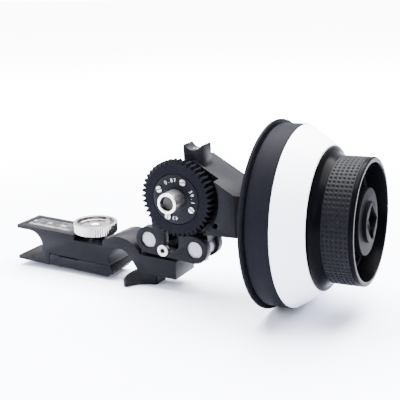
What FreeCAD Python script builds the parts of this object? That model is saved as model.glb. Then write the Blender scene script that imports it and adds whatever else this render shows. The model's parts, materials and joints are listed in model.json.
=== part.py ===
import FreeCAD, Part
import math
import os
from FreeCAD import Vector

# Follow focus unit on a bridge for two support rods. Millimetres.
#
# Frame: the origin lies on the axis of the near rod, halfway across the beam. +X runs towards the
# hand wheel, +Y along the rods and away from the drive gear, +Z up.
#
# The gearbox, its gear and the hand wheel are drawn in a frame of their own, called the head:
# its origin is on the axis of hinge pin B, its +X is the axis of the hand wheel, and the whole
# head is then tilted about that pin and moved to its place.

# ---------------------------------------------------------------- driving dimensions

# support rods
rod_diameter = 15.0
rod_spacing = 60.0
near_rod_play = 0.1
far_rod_play = 0.7

# bridge beam
beam_depth = 20.0
beam_top = 10.3
beam_bottom = 9.9
beam_end_overhang = 9.2
foot_pad_length = 22.0
foot_pad_height = 0.3
arch_wall = 6.6
mouth_angle = 36.0
lip_reach = 2.6
lip_slope = 0.9
label_margin = 3.2
label_length = 33.0
label_depth = 0.2

# lower jaw, hinged in the beam and drawn up by the thumbscrew
jaw_gap = 0.3
jaw_drop = 3.6
jaw_start_from_axis = 46.9
jaw_end_gap = 0.2
jaw_corner_radius = 1.5
jaw_foot_chamfer = 0.6
jaw_relief_from_start = 6.6
jaw_relief_length = 13.3
jaw_relief_depth = 0.45
jaw_pin_inset = 3.0
jaw_pin_drop = 6.7
jaw_pin_radius = 1.25
jaw_pin_cover = 1.5
jaw_slot_length = 6.4
jaw_slot_width = 6.0
jaw_stud_play = 0.25

# block on the wheel side of the near rod
block_end = 34.3
block_top = 6.5
block_bottom = 3.5

# thumbscrew across the slit
thumb_from_axis = 21.9
thumb_radius = 12.0
thumb_height = 5.5
thumb_lift = 0.9
thumb_collar_radius = 5.0
thumb_cup_radius = 10.0
thumb_cup_depth = 2.2
thumb_flutes = 48
thumb_flute_radius = 0.5
thumb_seat_depth = 3.0
thumb_seat_left = 29.7
thumb_seat_right = 11.0
thumb_stud_radius = 3.0
thumb_stud_foot = 1.2

# hinge pins and the link between them
pin_a_x = 17.2
pin_a_z = 15.2
pin_b_x = 44.3
pin_b_z = 14.1
pin_end_radius = 4.35
pin_shank_radius = 5.4
pin_recess = 0.9
fork_gap = 9.0
cheek_thickness = 4.5
cheek_ring_radius = 7.2
waist_radius = 4.3
waist_x = 31.0
waist_z = 15.5
clamp_screw_x = 26.1
clamp_screw_z = 10.9
clamp_screw_radius = 1.5
clamp_head_radius = 3.1
clamp_head_height = 2.2
clamp_head_proud = 0.6
spacer_radius = 2.9

# stop arm of the front cheek
stop_arm_width = 5.5
stop_arm_tip_width = 3.4
stop_arm_lean = 15.0
stop_arm_offset = 7.2
stop_arm_drop = 1.0
stop_arm_length = 17.4

# knuckle on the block
knuckle_radius = 6.4
tenon_length = 10.0
tenon_depth = 5.5
dowel_x = 13.4
dowel_edge = 2.2
dowel_radius = 0.8
dowel_height = 1.7
dowel_sunk = 3.0

# clamp lever under the block
lever_height = 7.2
lever_gap = 0.2
lever_hub_radius = 4.4
lever_end_reach = 4.4
lever_end_width = 12.0
lever_end_radius = 2.0
lever_tip_radius = 1.6
lever_reach = 16.3
lever_angle = 56.5
lever_waist_depth = 2.0
lever_waist_radius = 16.0
lever_cap = 1.0
lever_rod_gap = 0.8
spindle_x = 15.4
spindle_radius = 2.5
spindle_tip_gap = 0.5

# head: where it sits and how its axes lie
head_tilt = 3.83
gear_axis_x = -5.3
gear_axis_z = 28.0
wheel_axis_z = 20.5

# gearbox housing
post_width = 11.0
post_depth = 8.8
post_end_gap = 2.7
flare_radius = 4.0
top_hole_radius = 1.65
top_hole_depth = 13.0
saddle_screw_radius = 2.0
saddle_screw_depth = 8.0
saddle_head_radius = 3.1
saddle_head_height = 3.3
saddle_head_gap = 0.3
housing_front = 12.5
housing_rear = 12.3
housing_bottom = 10.0
housing_end = 25.0
housing_end_top = 31.2
housing_slope = 31.4
housing_ridge = 1.0
housing_round_radius = 16.0
housing_wall = 3.0
pocket_radius = 22.0
pocket_floor = 6.4
cavity_front = 5.2
cover_thickness = 3.0
cover_screw_radius = 1.0
cover_head_radius = 1.9
cover_head_height = 1.1
cover_screw_inset = 3.4
cover_screw_length = 6.0
accessory_hole_x = 14.2
accessory_hole_z = 15.2
accessory_hole_radius = 1.5
accessory_hole_depth = 5.0

# bearing nose
nose_plate_width = 3.0
nose_radius = 8.9
nose_length = 15.8
nose_spigot_radius = 8.0
bearing_radius = 7.0
bearing_width = 4.0
bearing_inset = 1.0
nose_screw_radius = 1.0
nose_head_radius = 1.7
nose_head_height = 0.8
nose_screw_inset = 3.0
nose_screw_length = 5.0

# gear train
train_module = 0.8
train_teeth = 15
train_width = 2.6
train_rear_gap = 1.3
bevel_module = 0.6
bevel_teeth = 15
bevel_face = 1.9
bevel_hub_length = 2.6
bevel_hub_radius = 3.2
counter_shaft_radius = 2.0
counter_bush_radius = 2.9
counter_bush_length = 1.6
gear_shaft_radius = 3.5
gear_bush_radius = 5.0
gear_bush_length = 4.0
rear_bush_length = 2.0
bush_boss_wall = 1.5
knob_shaft_radius = 4.0
pinion_seat_radius = 2.2

# drive gear
gear_module = 0.87
gear_teeth = 43
gear_width = 6.0
gear_front = 15.5
face_disc_radius = 12.6
face_disc_thickness = 3.1
face_screw_circle = 10.0
face_screw_phase = 62.0
face_screw_head_radius = 1.6
face_screw_head_height = 0.6
face_screw_radius = 0.9
face_screw_length = 5.5
face_screw_slot = 0.6
face_screw_slot_depth = 0.4
face_screw_slot_angles = (0.0, 20.0, 70.0, -40.0)

# release tube and plunger
tube_radius = 5.2
tube_reach = 9.0
tube_root = 8.5
tube_bore_radius = 3.6
tube_web = 0.5
tube_seat_length = 2.4
plunger_length = 6.5
plunger_recess = 2.4
plunger_clearance = 0.08
spring_wire_radius = 0.35
spring_coil_radius = 2.7
spring_turns = 4

# hand wheel, along its axis from the head's origin
wheel_start = 41.8
flange_step = 1.9
flange_width = 1.6
flange_bore_radius = 14.0
drum_groove_width = 0.9
drum_groove_depth = 1.4
drum_radius = 43.9
drum_width = 11.1
drum_wall = 2.9
drum_back_wall = 3.6
ring_gap = 0.2
ring_width = 13.1
ring_step = 0.2
ring_small_radius = 34.7
ring_wall = 2.2
ring_spigot = 2.0
neck_width = 5.0
neck_step = 0.6
grip_radius = 29.9
grip_width = 12.4
grip_thickness = 2.0
rim_width = 2.1
rim_lip = 1.8
recess_depth = 9.9
recess_wall = 4.0
knob_floor = 2.5
knob_shell = 1.6
knob_hub_radius = 8.0
knob_hub_length = 6.0
hub_disc_radius = 15.7
hub_disc_thickness = 3.2
hub_disc_setback = 1.7
hub_collar_radius = 9.6
hub_collar_height = 1.7
hub_boss_radius = 10.0
square_socket = 11.6
square_socket_depth = 7.0
shaft_flange_radius = 13.0
shaft_flange_thickness = 2.5
shaft_front_gap = 0.5
drum_screw_count = 4
drum_screw_circle = 9.0
drum_screw_radius = 1.25
drum_screw_head_radius = 2.3
drum_screw_head_height = 2.0

# clearances
running_fit = 0.03
slide_gap = 0.1
cut_margin = 1.0

# ---------------------------------------------------------------- values that follow

rod_radius = rod_diameter / 2
near_seat_radius = rod_radius + near_rod_play
far_seat_radius = rod_radius + far_rod_play
arch_radius = near_seat_radius + arch_wall
beam_start = -rod_spacing - beam_end_overhang
half_beam = beam_depth / 2
half_gap = fork_gap / 2
half_link = half_gap + cheek_thickness
clamp_head_front = -half_link - clamp_head_proud
half_post = post_depth / 2
jaw_start = -jaw_start_from_axis
jaw_pin_x = jaw_start + jaw_pin_inset
dowel_y = -half_beam + dowel_edge
thumb_x = -thumb_from_axis
thumb_floor = beam_top - thumb_seat_depth
thumb_bottom = beam_top + thumb_lift
lever_top = -block_bottom - lever_gap
lever_bottom = lever_top - lever_height
shank_fit_radius = pin_shank_radius + running_fit
post_top_end = 2 * gear_axis_z - post_end_gap
train_pitch_radius = train_module * train_teeth / 2
train_centres = 2 * train_pitch_radius
bevel_pitch_radius = bevel_module * bevel_teeth / 2
axis_drop = gear_axis_z - wheel_axis_z
counter_x = gear_axis_x + math.sqrt(train_centres ** 2 - axis_drop ** 2)
train_start = bevel_pitch_radius + train_rear_gap
tube_front = -gear_front - tube_reach
tube_rear = -gear_front + tube_root
tube_seat_front = -gear_front + face_disc_thickness + tube_seat_length
tube_bore_end = tube_seat_front - tube_web
plunger_front = tube_front + plunger_recess
cover_outer = housing_rear + cover_thickness
cover_screw_tip = cover_outer - cover_head_height - cover_screw_length
nose_plate_end = housing_end + nose_plate_width
nose_screw_tip = nose_plate_end - nose_screw_length
drum_start = wheel_start + flange_width
drum_body_start = drum_start + drum_groove_width
drum_end = drum_body_start + drum_width
ring_start = drum_end + ring_gap
ring_end = ring_start + ring_width
neck_start = ring_end + ring_gap
grip_start = neck_start + neck_width
grip_end = grip_start + grip_width
knob_front = grip_end + rim_width
recess_floor = knob_front - recess_depth
hub_disc_front = knob_front - hub_disc_setback
hub_disc_back = hub_disc_front - hub_disc_thickness
shaft_flange_start = drum_start + drum_back_wall
flange_radius = drum_radius + flange_step
drum_groove_radius = drum_radius - drum_groove_depth
ring_large_radius = drum_radius - ring_step
neck_start_radius = ring_small_radius - neck_step
recess_floor_radius = grip_radius - recess_wall


# ---------------------------------------------------------------- helpers

def cylinder_y(x, z, radius, y_start, y_end):
    """Cylinder along Y."""
    return Part.makeCylinder(radius, y_end - y_start, Vector(x, y_start, z), Vector(0, 1, 0))


def cylinder_x(y, z, radius, x_start, x_end):
    """Cylinder along X."""
    return Part.makeCylinder(radius, x_end - x_start, Vector(x_start, y, z), Vector(1, 0, 0))


def cylinder_z(x, y, radius, z_start, z_end):
    """Cylinder along Z."""
    return Part.makeCylinder(radius, z_end - z_start, Vector(x, y, z_start))


def box(x_range, y_range, z_range):
    """Box between two limits on each axis."""
    size = [high - low for low, high in (x_range, y_range, z_range)]
    return Part.makeBox(size[0], size[1], size[2], Vector(x_range[0], y_range[0], z_range[0]))


def prism_y(outline, y_start, y_end):
    """Closed outline of (x, z) points, extruded along Y."""
    points = [Vector(x, y_start, z) for x, z in outline]
    face = Part.Face(Part.makePolygon(points + points[:1]))
    return face.extrude(Vector(0, y_end - y_start, 0))


def turned(profile, axis_z):
    """Closed profile of (x, radius) points, turned about the X-parallel axis at axis_z."""
    points = [Vector(x, 0, axis_z + radius) for x, radius in profile]
    face = Part.Face(Part.makePolygon(points + points[:1]))
    return face.revolve(Vector(0, 0, axis_z), Vector(1, 0, 0), 360)


def circle_hull(first, second):
    """Outline of two circles (x, z, radius) and their outer tangents, as a face in the XZ plane."""
    (x1, z1, r1), (x2, z2, r2) = first, second
    span = math.hypot(x2 - x1, z2 - z1)
    along = math.atan2(z2 - z1, x2 - x1)
    lean = math.acos((r1 - r2) / span)

    def rim(x, z, radius, angle):
        return Vector(x + radius * math.cos(angle), 0, z + radius * math.sin(angle))

    upper1 = rim(x1, z1, r1, along + lean)
    upper2 = rim(x2, z2, r2, along + lean)
    lower1 = rim(x1, z1, r1, along - lean)
    lower2 = rim(x2, z2, r2, along - lean)
    far1 = rim(x1, z1, r1, along + math.pi)
    far2 = rim(x2, z2, r2, along)
    edges = [
        Part.Arc(lower1, far1, upper1).toShape(),
        Part.LineSegment(upper1, upper2).toShape(),
        Part.Arc(upper2, far2, lower2).toShape(),
        Part.LineSegment(lower2, lower1).toShape(),
    ]
    return Part.Face(Part.Wire(edges))


def rounded_bar_y(first, second, y_start, y_end):
    """Bar along Y whose section is the hull of two circles (x, z, radius)."""
    face = circle_hull(first, second)
    face.translate(Vector(0, y_start, 0))
    return face.extrude(Vector(0, y_end - y_start, 0))


def tooth_outline(teeth, module, phase, addendum=1.0, dedendum=1.25, fill=0.92):
    """Straight-flanked gear outline: four points a tooth, the first tooth centred on phase."""
    pitch = module * teeth / 2
    flank = math.tan(math.radians(20))
    points = []
    for index in range(teeth):
        centre = math.radians(phase) + 2 * math.pi * index / teeth
        for side, height in ((-1, -dedendum), (-1, addendum), (1, addendum), (1, -dedendum)):
            radius = pitch + height * module
            half = math.pi * module / 4 * fill - height * module * flank
            angle = centre + side * half / radius
            points.append((radius * math.cos(angle), radius * math.sin(angle)))
    return points


def spur_gear(x, z, teeth, module, y_start, y_end, phase, **shape):
    """Spur gear on an axis along Y."""
    outline = [(x + u, z + v) for u, v in tooth_outline(teeth, module, phase, **shape)]
    return prism_y(outline, y_start, y_end)


def bevel_wire(place, scale, phase):
    """Toothed wire of a bevel gear, scaled towards its cone's tip."""
    outline = tooth_outline(bevel_teeth, bevel_module, phase, 0.7, 0.9, 0.8)
    points = [place(u * scale, v * scale) for u, v in outline]
    return Part.makePolygon(points + points[:1])


def bevel_body(place_at, phase):
    """Bevel gear at 45 degrees; place_at(distance from the cone's tip) gives its plane."""
    small = (bevel_pitch_radius - bevel_face) / bevel_pitch_radius
    wires = []
    for scale in (small, 1.0):
        wires.append(bevel_wire(place_at(bevel_pitch_radius * scale), scale, phase))
    return Part.makeLoft(wires, True, True)


def to_head(shape):
    """Tilt a piece of the head about hinge pin B and move it to its place."""
    placed = shape.copy()
    placed.rotate(Vector(0, 0, 0), Vector(0, 1, 0), -head_tilt)
    placed.translate(Vector(pin_b_x, 0, pin_b_z))
    return placed


def polar(radius, angle, x=0.0, z=0.0):
    """Point (x, z) at a radius and an angle in degrees round a centre."""
    return x + radius * math.cos(math.radians(angle)), z + radius * math.sin(math.radians(angle))


# ---------------------------------------------------------------- bridge

def mouth_cut():
    """Slanted channel, as wide as the near rod, from the rod's seat out below."""
    lean = math.radians(mouth_angle)
    across = (math.cos(lean), math.sin(lean))
    out = (math.sin(lean), -math.cos(lean))
    reach = 3 * near_seat_radius
    left = (-near_seat_radius * across[0], -near_seat_radius * across[1])
    right = (near_seat_radius * across[0], near_seat_radius * across[1])
    outline = [
        left,
        (left[0] + reach * out[0], left[1] + reach * out[1]),
        (right[0] + reach * out[0], right[1] + reach * out[1]),
        right,
    ]
    return prism_y(outline, -half_beam - cut_margin, half_beam + cut_margin)


def jaw_room():
    """Room under the beam for the jaw, with a gap above it and at its end."""
    top = jaw_gap - jaw_drop
    room_x = (jaw_start - jaw_end_gap, near_seat_radius)
    through = (-half_beam - cut_margin, half_beam + cut_margin)
    return box(room_x, through, (-beam_bottom - cut_margin, top))


def jaw_tongue():
    """Tongue of the beam that stands in the jaw's slot, with the hole of the jaw's pin."""
    half = jaw_slot_width / 2 - slide_gap
    end = jaw_start + jaw_slot_length - jaw_gap
    tongue = box((jaw_start - jaw_end_gap, end), (-half, half), (-beam_bottom, jaw_gap - jaw_drop))
    return tongue.cut(cylinder_y(jaw_pin_x, -jaw_pin_drop, jaw_pin_radius + running_fit, -half, half))


def lower_jaw():
    """Bar under the beam that carries the lower side of the near rod's seat and its lip."""
    lean = math.radians(mouth_angle)
    across = (-near_seat_radius * math.cos(lean), -near_seat_radius * math.sin(lean))
    tip = (across[0] + lip_reach * math.sin(lean), across[1] - lip_reach * math.cos(lean))
    rise = beam_bottom + tip[1]
    seat_x = -math.sqrt(near_seat_radius ** 2 - jaw_drop ** 2)
    outline = [
        (jaw_start + jaw_foot_chamfer, -beam_bottom),
        (jaw_start, -beam_bottom + jaw_foot_chamfer),
        (jaw_start, -jaw_drop - jaw_corner_radius),
        (jaw_start + jaw_corner_radius, -jaw_drop),
        (seat_x, -jaw_drop),
        across,
        tip,
        (tip[0] - lip_slope * rise, -beam_bottom),
    ]
    bar = prism_y(outline, -half_beam, half_beam)
    corner_x = jaw_start + jaw_corner_radius
    corner_z = -jaw_drop - jaw_corner_radius
    corner = cylinder_y(corner_x, corner_z, jaw_corner_radius, -half_beam, half_beam)
    rear = half_beam + cut_margin
    seat = cylinder_y(0, 0, near_seat_radius, -rear, rear)
    half_slot = jaw_slot_width / 2
    below = -beam_bottom - cut_margin
    slot_x = (jaw_start - cut_margin, jaw_start + jaw_slot_length)
    slot = box(slot_x, (-half_slot, half_slot), (below, 0))
    stud_hole = cylinder_z(thumb_x, 0, thumb_stud_radius + jaw_stud_play, below, 0)
    pin_hole = cylinder_y(jaw_pin_x, -jaw_pin_drop, jaw_pin_radius, jaw_pin_cover - half_beam, rear)
    relief_start = jaw_start + jaw_relief_from_start
    relief_x = (relief_start, relief_start + jaw_relief_length)
    relief = box(relief_x, (-rear, rear), (-jaw_drop - jaw_relief_depth, 0))
    return bar.fuse(corner).cut([seat, slot, stud_hole, pin_hole, relief])


def jaw_pin():
    """Dowel on which the jaw turns, put in from the rear and blind at the front."""
    return cylinder_y(jaw_pin_x, -jaw_pin_drop, jaw_pin_radius, jaw_pin_cover - half_beam, half_beam)


def arch():
    """Half round over the near rod, with a straight shoulder down to the thumbscrew's seat."""
    disc = cylinder_y(0, 0, arch_radius, -half_beam, half_beam)
    upper = box((-arch_radius, arch_radius), (-half_beam, half_beam), (0, arch_radius))
    shoulder = [
        (-thumb_seat_right, 0),
        (-thumb_seat_right, beam_top),
        (-arch_radius * math.sin(math.radians(12)), arch_radius * math.cos(math.radians(12))),
        (0, 0),
    ]
    return disc.common(upper).fuse(prism_y(shoulder, -half_beam, half_beam))


def bridge_body():
    """Beam, arch, block and the jaw's tongue in one piece."""
    wide = (-half_beam, half_beam)
    through = (-half_beam - cut_margin, half_beam + cut_margin)
    beam = box((beam_start, 0), wide, (-beam_bottom, beam_top))
    pad_end = beam_start + foot_pad_length
    pad = box((beam_start, pad_end), wide, (-beam_bottom - foot_pad_height, -beam_bottom))
    block = box((0, block_end), wide, (-block_bottom, block_top))
    body = beam.fuse([pad, block, arch()])

    fork = cylinder_y(-rod_spacing, 0, far_seat_radius, *through)
    fork_mouth = box((beam_start - cut_margin, -rod_spacing), through, (-far_seat_radius, far_seat_radius))
    seat_x = (-thumb_seat_left, -thumb_seat_right)
    seat = box(seat_x, through, (thumb_floor, arch_radius))
    stud_hole = cylinder_z(thumb_x, 0, thumb_stud_radius + 2 * slide_gap, -jaw_drop, beam_top)
    label_x = (beam_start + label_margin, beam_start + label_margin + label_length)
    label_y = (-half_beam + label_margin, half_beam - label_margin)
    label = box(label_x, label_y, (beam_top - label_depth, beam_top + cut_margin))
    tenon = box(
        (pin_a_x - tenon_length / 2, pin_a_x + tenon_length / 2),
        (-half_post - running_fit, half_post + running_fit),
        (block_top - tenon_depth, block_top + cut_margin),
    )
    spindle_hole = cylinder_z(spindle_x, 0, spindle_radius + slide_gap, -block_bottom - cut_margin, block_top)
    dowel_hole = cylinder_z(dowel_x, dowel_y, dowel_radius, block_top - dowel_sunk, block_top + cut_margin)
    bore = cylinder_y(0, 0, near_seat_radius, *through)
    relief = cylinder_y(pin_a_x, pin_a_z, pin_a_z - block_top, *through)
    cuts = [fork, fork_mouth, seat, stud_hole, label, tenon, relief, jaw_room()]
    cuts += [spindle_hole, dowel_hole, bore, mouth_cut()]
    return body.cut(cuts).fuse(jaw_tongue())


def thumbscrew_head():
    """Cupped, fluted head with a collar that stands on the seat's floor."""
    top = thumb_bottom + thumb_height
    disc = cylinder_z(thumb_x, 0, thumb_radius, thumb_bottom, top)
    collar = cylinder_z(thumb_x, 0, thumb_collar_radius, thumb_floor, thumb_bottom + cut_margin)
    cup = cylinder_z(thumb_x, 0, thumb_cup_radius, top - thumb_cup_depth, top + cut_margin)
    bore = cylinder_z(thumb_x, 0, thumb_stud_radius, thumb_floor - cut_margin, top - 2 * thumb_cup_depth)
    flutes = []
    for index in range(thumb_flutes):
        x, y = polar(thumb_radius + thumb_flute_radius / 3, 360 * index / thumb_flutes, thumb_x)
        flutes.append(cylinder_z(x, y, thumb_flute_radius, thumb_bottom - cut_margin, top + cut_margin))
    return disc.fuse(collar).cut([cup, bore] + flutes)


def thumbscrew_stud():
    """Threaded stud from the thumbscrew's head down into the lower jaw."""
    top = thumb_bottom + thumb_height - 2 * thumb_cup_depth
    return cylinder_z(thumb_x, 0, thumb_stud_radius, -beam_bottom + thumb_stud_foot, top)


def stop_dowel():
    """Short dowel on the block, just under the left ring of the link."""
    return cylinder_z(dowel_x, dowel_y, dowel_radius, block_top - dowel_sunk, block_top + dowel_height)


# ---------------------------------------------------------------- knuckle, lever and link

def hinge_knuckle():
    """Barrel round hinge pin A and its foot in the block."""
    deep = (-half_post, half_post)
    barrel = cylinder_y(pin_a_x, pin_a_z, knuckle_radius, *deep)
    foot_x = (pin_a_x - tenon_length / 2, pin_a_x + tenon_length / 2)
    foot = box(foot_x, deep, (block_top, pin_a_z))
    tenon_x = (pin_a_x - tenon_length / 2 + running_fit, pin_a_x + tenon_length / 2 - running_fit)
    tenon = box(tenon_x, deep, (block_top - tenon_depth + slide_gap, block_top))
    bore = cylinder_y(pin_a_x, pin_a_z, shank_fit_radius, -half_post - cut_margin, half_post + cut_margin)
    thread = cylinder_z(spindle_x, 0, spindle_radius + running_fit, -block_bottom, pin_a_z)
    return barrel.fuse([foot, tenon]).cut([bore, thread])


def lever_circles():
    """Circles (x, y, radius) that outline the lever: its end's two corners, its hub and its tip."""
    corner_x = spindle_x + lever_end_reach - lever_end_radius
    corner_y = lever_end_width / 2 - lever_end_radius
    front = (corner_x, -corner_y, lever_end_radius)
    rear = (corner_x, corner_y, lever_end_radius)
    hub = (spindle_x, 0, lever_hub_radius)
    tip = (*polar(lever_reach, 180 + lever_angle, spindle_x), lever_tip_radius)
    return front, rear, hub, tip


def lever_waist_centre(corner, tip):
    """Centre of the shallow hollow in the lever's front, midway between a corner of its end and its tip."""
    (corner_x, corner_y, corner_radius), (tip_x, tip_y, tip_radius) = corner, tip
    span = math.hypot(tip_x - corner_x, tip_y - corner_y)
    along = math.atan2(tip_y - corner_y, tip_x - corner_x)
    facing = math.degrees(along + math.acos((corner_radius - tip_radius) / span))
    start_x, start_y = polar(corner_radius, facing, corner_x, corner_y)
    end_x, end_y = polar(tip_radius, facing, tip_x, tip_y)
    return polar(lever_waist_radius - lever_waist_depth, facing, (start_x + end_x) / 2, (start_y + end_y) / 2)


def lever_blank(circles):
    """Lever's plan, raised to its height: the hull of the circles."""
    front, rear, hub, tip = [Vector(x, y, lever_bottom) for x, y, _ in circles]
    core = Part.Face(Part.makePolygon([front, rear, hub, tip, front])).extrude(Vector(0, 0, lever_height))
    sides = []
    for index, first in enumerate(circles):
        for second in circles[index + 1:]:
            side = circle_hull(first, second)
            side.rotate(Vector(0, 0, 0), Vector(1, 0, 0), -90)
            side.translate(Vector(0, 0, lever_bottom))
            sides.append(side.extrude(Vector(0, 0, lever_height)))
    return core.fuse(sides).removeSplitter()


def clamp_lever():
    """Lever that turns about the spindle: waisted on its front, its tip hollowed to clear the rod."""
    front, rear, hub, tip = lever_circles()
    waist_x, waist_y = lever_waist_centre(front, tip)
    above = lever_top + cut_margin
    waist = cylinder_z(waist_x, waist_y, lever_waist_radius, lever_bottom - cut_margin, above)
    bore = cylinder_z(spindle_x, 0, spindle_radius, lever_bottom + lever_cap, above)
    rod_room = cylinder_y(0, 0, near_seat_radius + lever_rod_gap, -2 * lever_reach, 0)
    return lever_blank((front, rear, hub, tip)).cut([bore, waist, rod_room])


def lever_spindle():
    """Threaded spindle from the lever up through the block into the knuckle."""
    top = pin_a_z - shank_fit_radius - spindle_tip_gap
    return cylinder_z(spindle_x, 0, spindle_radius, lever_bottom + lever_cap, top)


def link_cheek(y_start, y_end):
    """One cheek of the link: a ring round each hinge pin and a waist between them."""
    bar = rounded_bar_y(
        (pin_a_x, pin_a_z, cheek_ring_radius), (pin_b_x, pin_b_z, cheek_ring_radius), y_start, y_end)
    above = waist_z + 2 * cheek_ring_radius
    through = (y_start - cut_margin, y_end + cut_margin)
    waist = cylinder_y(waist_x, waist_z, waist_radius, *through)
    waist_top = box((waist_x - waist_radius, waist_x + waist_radius), through, (waist_z, above))
    hole_a = cylinder_y(pin_a_x, pin_a_z, pin_end_radius, *through)
    hole_b = cylinder_y(pin_b_x, pin_b_z, pin_end_radius + running_fit, *through)
    screw = cylinder_y(clamp_screw_x, clamp_screw_z, clamp_screw_radius, *through)
    return bar.cut([waist, waist_top, hole_a, hole_b, screw])


def stop_arm():
    """Upright arm beside the ring of hinge pin A, tapering and leaning towards the rods."""
    lean = math.radians(stop_arm_lean)
    foot_x = pin_a_x + stop_arm_offset
    foot_z = pin_a_z - stop_arm_drop
    head_x = foot_x - stop_arm_length * math.sin(lean)
    head_z = foot_z + stop_arm_length * math.cos(lean)
    foot = (foot_x, foot_z, stop_arm_width / 2)
    head = (head_x, head_z, stop_arm_tip_width / 2)
    return rounded_bar_y(foot, head, -half_link, -half_gap)


def link_front_cheek():
    """Cheek on the gear's side, with the stop arm and the counterbore of the clamp screw."""
    cheek = link_cheek(-half_link, -half_gap).fuse(stop_arm())
    deep = clamp_head_front + clamp_head_height
    seat_radius = clamp_head_radius + slide_gap
    seat = cylinder_y(clamp_screw_x, clamp_screw_z, seat_radius, clamp_head_front, deep)
    shank = cylinder_y(clamp_screw_x, clamp_screw_z, clamp_screw_radius, -half_link, -half_gap)
    pin_end = cylinder_y(pin_a_x, pin_a_z, pin_end_radius, -half_link, -half_gap)
    return cheek.cut([seat, shank, pin_end])


def link_clamp_screw():
    """Cap screw with a hexagon socket that draws the two cheeks together."""
    head_front = clamp_head_front
    head_back = head_front + clamp_head_height
    head = cylinder_y(clamp_screw_x, clamp_screw_z, clamp_head_radius, head_front, head_back)
    shank = cylinder_y(clamp_screw_x, clamp_screw_z, clamp_screw_radius, head_back, half_link)
    key = [polar(clamp_screw_radius, 60 * corner, clamp_screw_x, clamp_screw_z) for corner in range(6)]
    socket = prism_y(key, head_front - cut_margin, head_front + 0.7 * clamp_head_height)
    return head.fuse(shank).cut(socket)


def link_spacer():
    """Sleeve on the clamp screw, between the cheeks."""
    sleeve = cylinder_y(clamp_screw_x, clamp_screw_z, spacer_radius, -half_gap, half_gap)
    return sleeve.cut(cylinder_y(clamp_screw_x, clamp_screw_z, clamp_screw_radius, -half_gap, half_gap))


def hinge_pin(x, z):
    """Stepped hinge pin: a thick shank between the cheeks, thinner ends in them."""
    end = half_link - pin_recess
    shank_half = half_gap - slide_gap
    pin = cylinder_y(x, z, pin_end_radius, -end, end)
    return pin.fuse(cylinder_y(x, z, pin_shank_radius, -shank_half, shank_half))


def head_pin():
    """Hinge pin B in the head's frame, with the saddle screw's hole and the seat of its head."""
    deep = 2 * pin_shank_radius
    hole = cylinder_z(0, 0, saddle_screw_radius, -deep, deep)
    seat = cylinder_z(0, 0, saddle_head_radius + saddle_head_gap, -deep, -pin_end_radius)
    return hinge_pin(0, 0).cut([hole, seat])


def saddle_screw():
    """Screw from under hinge pin B, through it, into the lower post."""
    head_bottom = -pin_end_radius - saddle_head_height
    head = cylinder_z(0, 0, saddle_head_radius, head_bottom, -pin_end_radius)
    shank = cylinder_z(0, 0, saddle_screw_radius, -pin_end_radius, saddle_screw_depth)
    return head.fuse(shank)


# ---------------------------------------------------------------- gearbox

def slope_height(x):
    """Height of the housing's sloping top at x."""
    return housing_end_top + math.tan(math.radians(housing_slope)) * (housing_end - x)


def housing_outline():
    """Outline of the housing seen along Y, without its posts and its round end."""
    left = gear_axis_x
    return [
        (left, housing_bottom),
        (housing_end, housing_bottom),
        (housing_end, housing_end_top),
        (housing_ridge, slope_height(housing_ridge)),
        (left, gear_axis_z + housing_round_radius),
    ]


def housing_mass(y_start, y_end):
    """Main mass of the housing: its outline and the round end about the gear's axis."""
    plate = prism_y(housing_outline(), y_start, y_end)
    return plate.fuse(cylinder_y(gear_axis_x, gear_axis_z, housing_round_radius, y_start, y_end))


def flare():
    """Concave flare between the upper post and the sloping top."""
    slope = math.radians(housing_slope)
    side = post_width / 2
    centre_x = side + flare_radius
    centre_z = slope_height(centre_x) + flare_radius / math.cos(slope)
    foot_x = centre_x - flare_radius * math.sin(slope)
    outline = [(side, centre_z), (foot_x, slope_height(foot_x)), (side, gear_axis_z)]
    hollow = cylinder_y(centre_x, centre_z, flare_radius, -half_post - cut_margin, half_post + cut_margin)
    return prism_y(outline, -half_post, half_post).cut(hollow)


def saddle_posts():
    """Two posts with a saddle each: one sits on hinge pin B, the other faces up."""
    half = post_width / 2
    bar = box((-half, half), (-half_post, half_post), (post_end_gap, post_top_end))
    saddles = []
    for axis in (0, 2 * gear_axis_z):
        saddles.append(cylinder_y(0, axis, shank_fit_radius, -half_post - cut_margin, half_post + cut_margin))
    return bar.cut(saddles)


def cavity():
    """Room for the gear train, open at the rear."""
    gear_room = train_pitch_radius + 2 * train_module + slide_gap
    rear = housing_rear + cut_margin
    round_gear = cylinder_y(gear_axis_x, gear_axis_z, gear_room, -cavity_front, rear)
    round_counter = cylinder_y(counter_x, wheel_axis_z, gear_room, -cavity_front, rear)
    pinion_room = box(
        (counter_x, housing_end - housing_wall),
        (-cavity_front, rear),
        (wheel_axis_z - gear_room, wheel_axis_z + gear_room),
    )
    return round_gear.fuse([round_counter, pinion_room])


def bush_bosses():
    """Bosses inside the front wall that hold the front bushes."""
    gear_end = gear_bush_length - pocket_floor
    gear_boss = cylinder_y(
        gear_axis_x, gear_axis_z, gear_bush_radius + bush_boss_wall, -pocket_floor, gear_end)
    counter_boss = cylinder_y(
        counter_x, wheel_axis_z, counter_bush_radius, -pocket_floor, counter_bush_length - cavity_front)
    return [gear_boss, counter_boss]


def cover_screw_places():
    """Places of the rear cover's screws, inside the corners of the outline."""
    inset = cover_screw_inset
    right = housing_end - inset
    return [
        (right, housing_bottom + inset),
        (right, slope_height(right) - 1.3 * inset),
        polar(housing_round_radius - inset, 100, gear_axis_x, gear_axis_z),
        polar(housing_round_radius - inset, 215, gear_axis_x, gear_axis_z),
    ]


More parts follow.
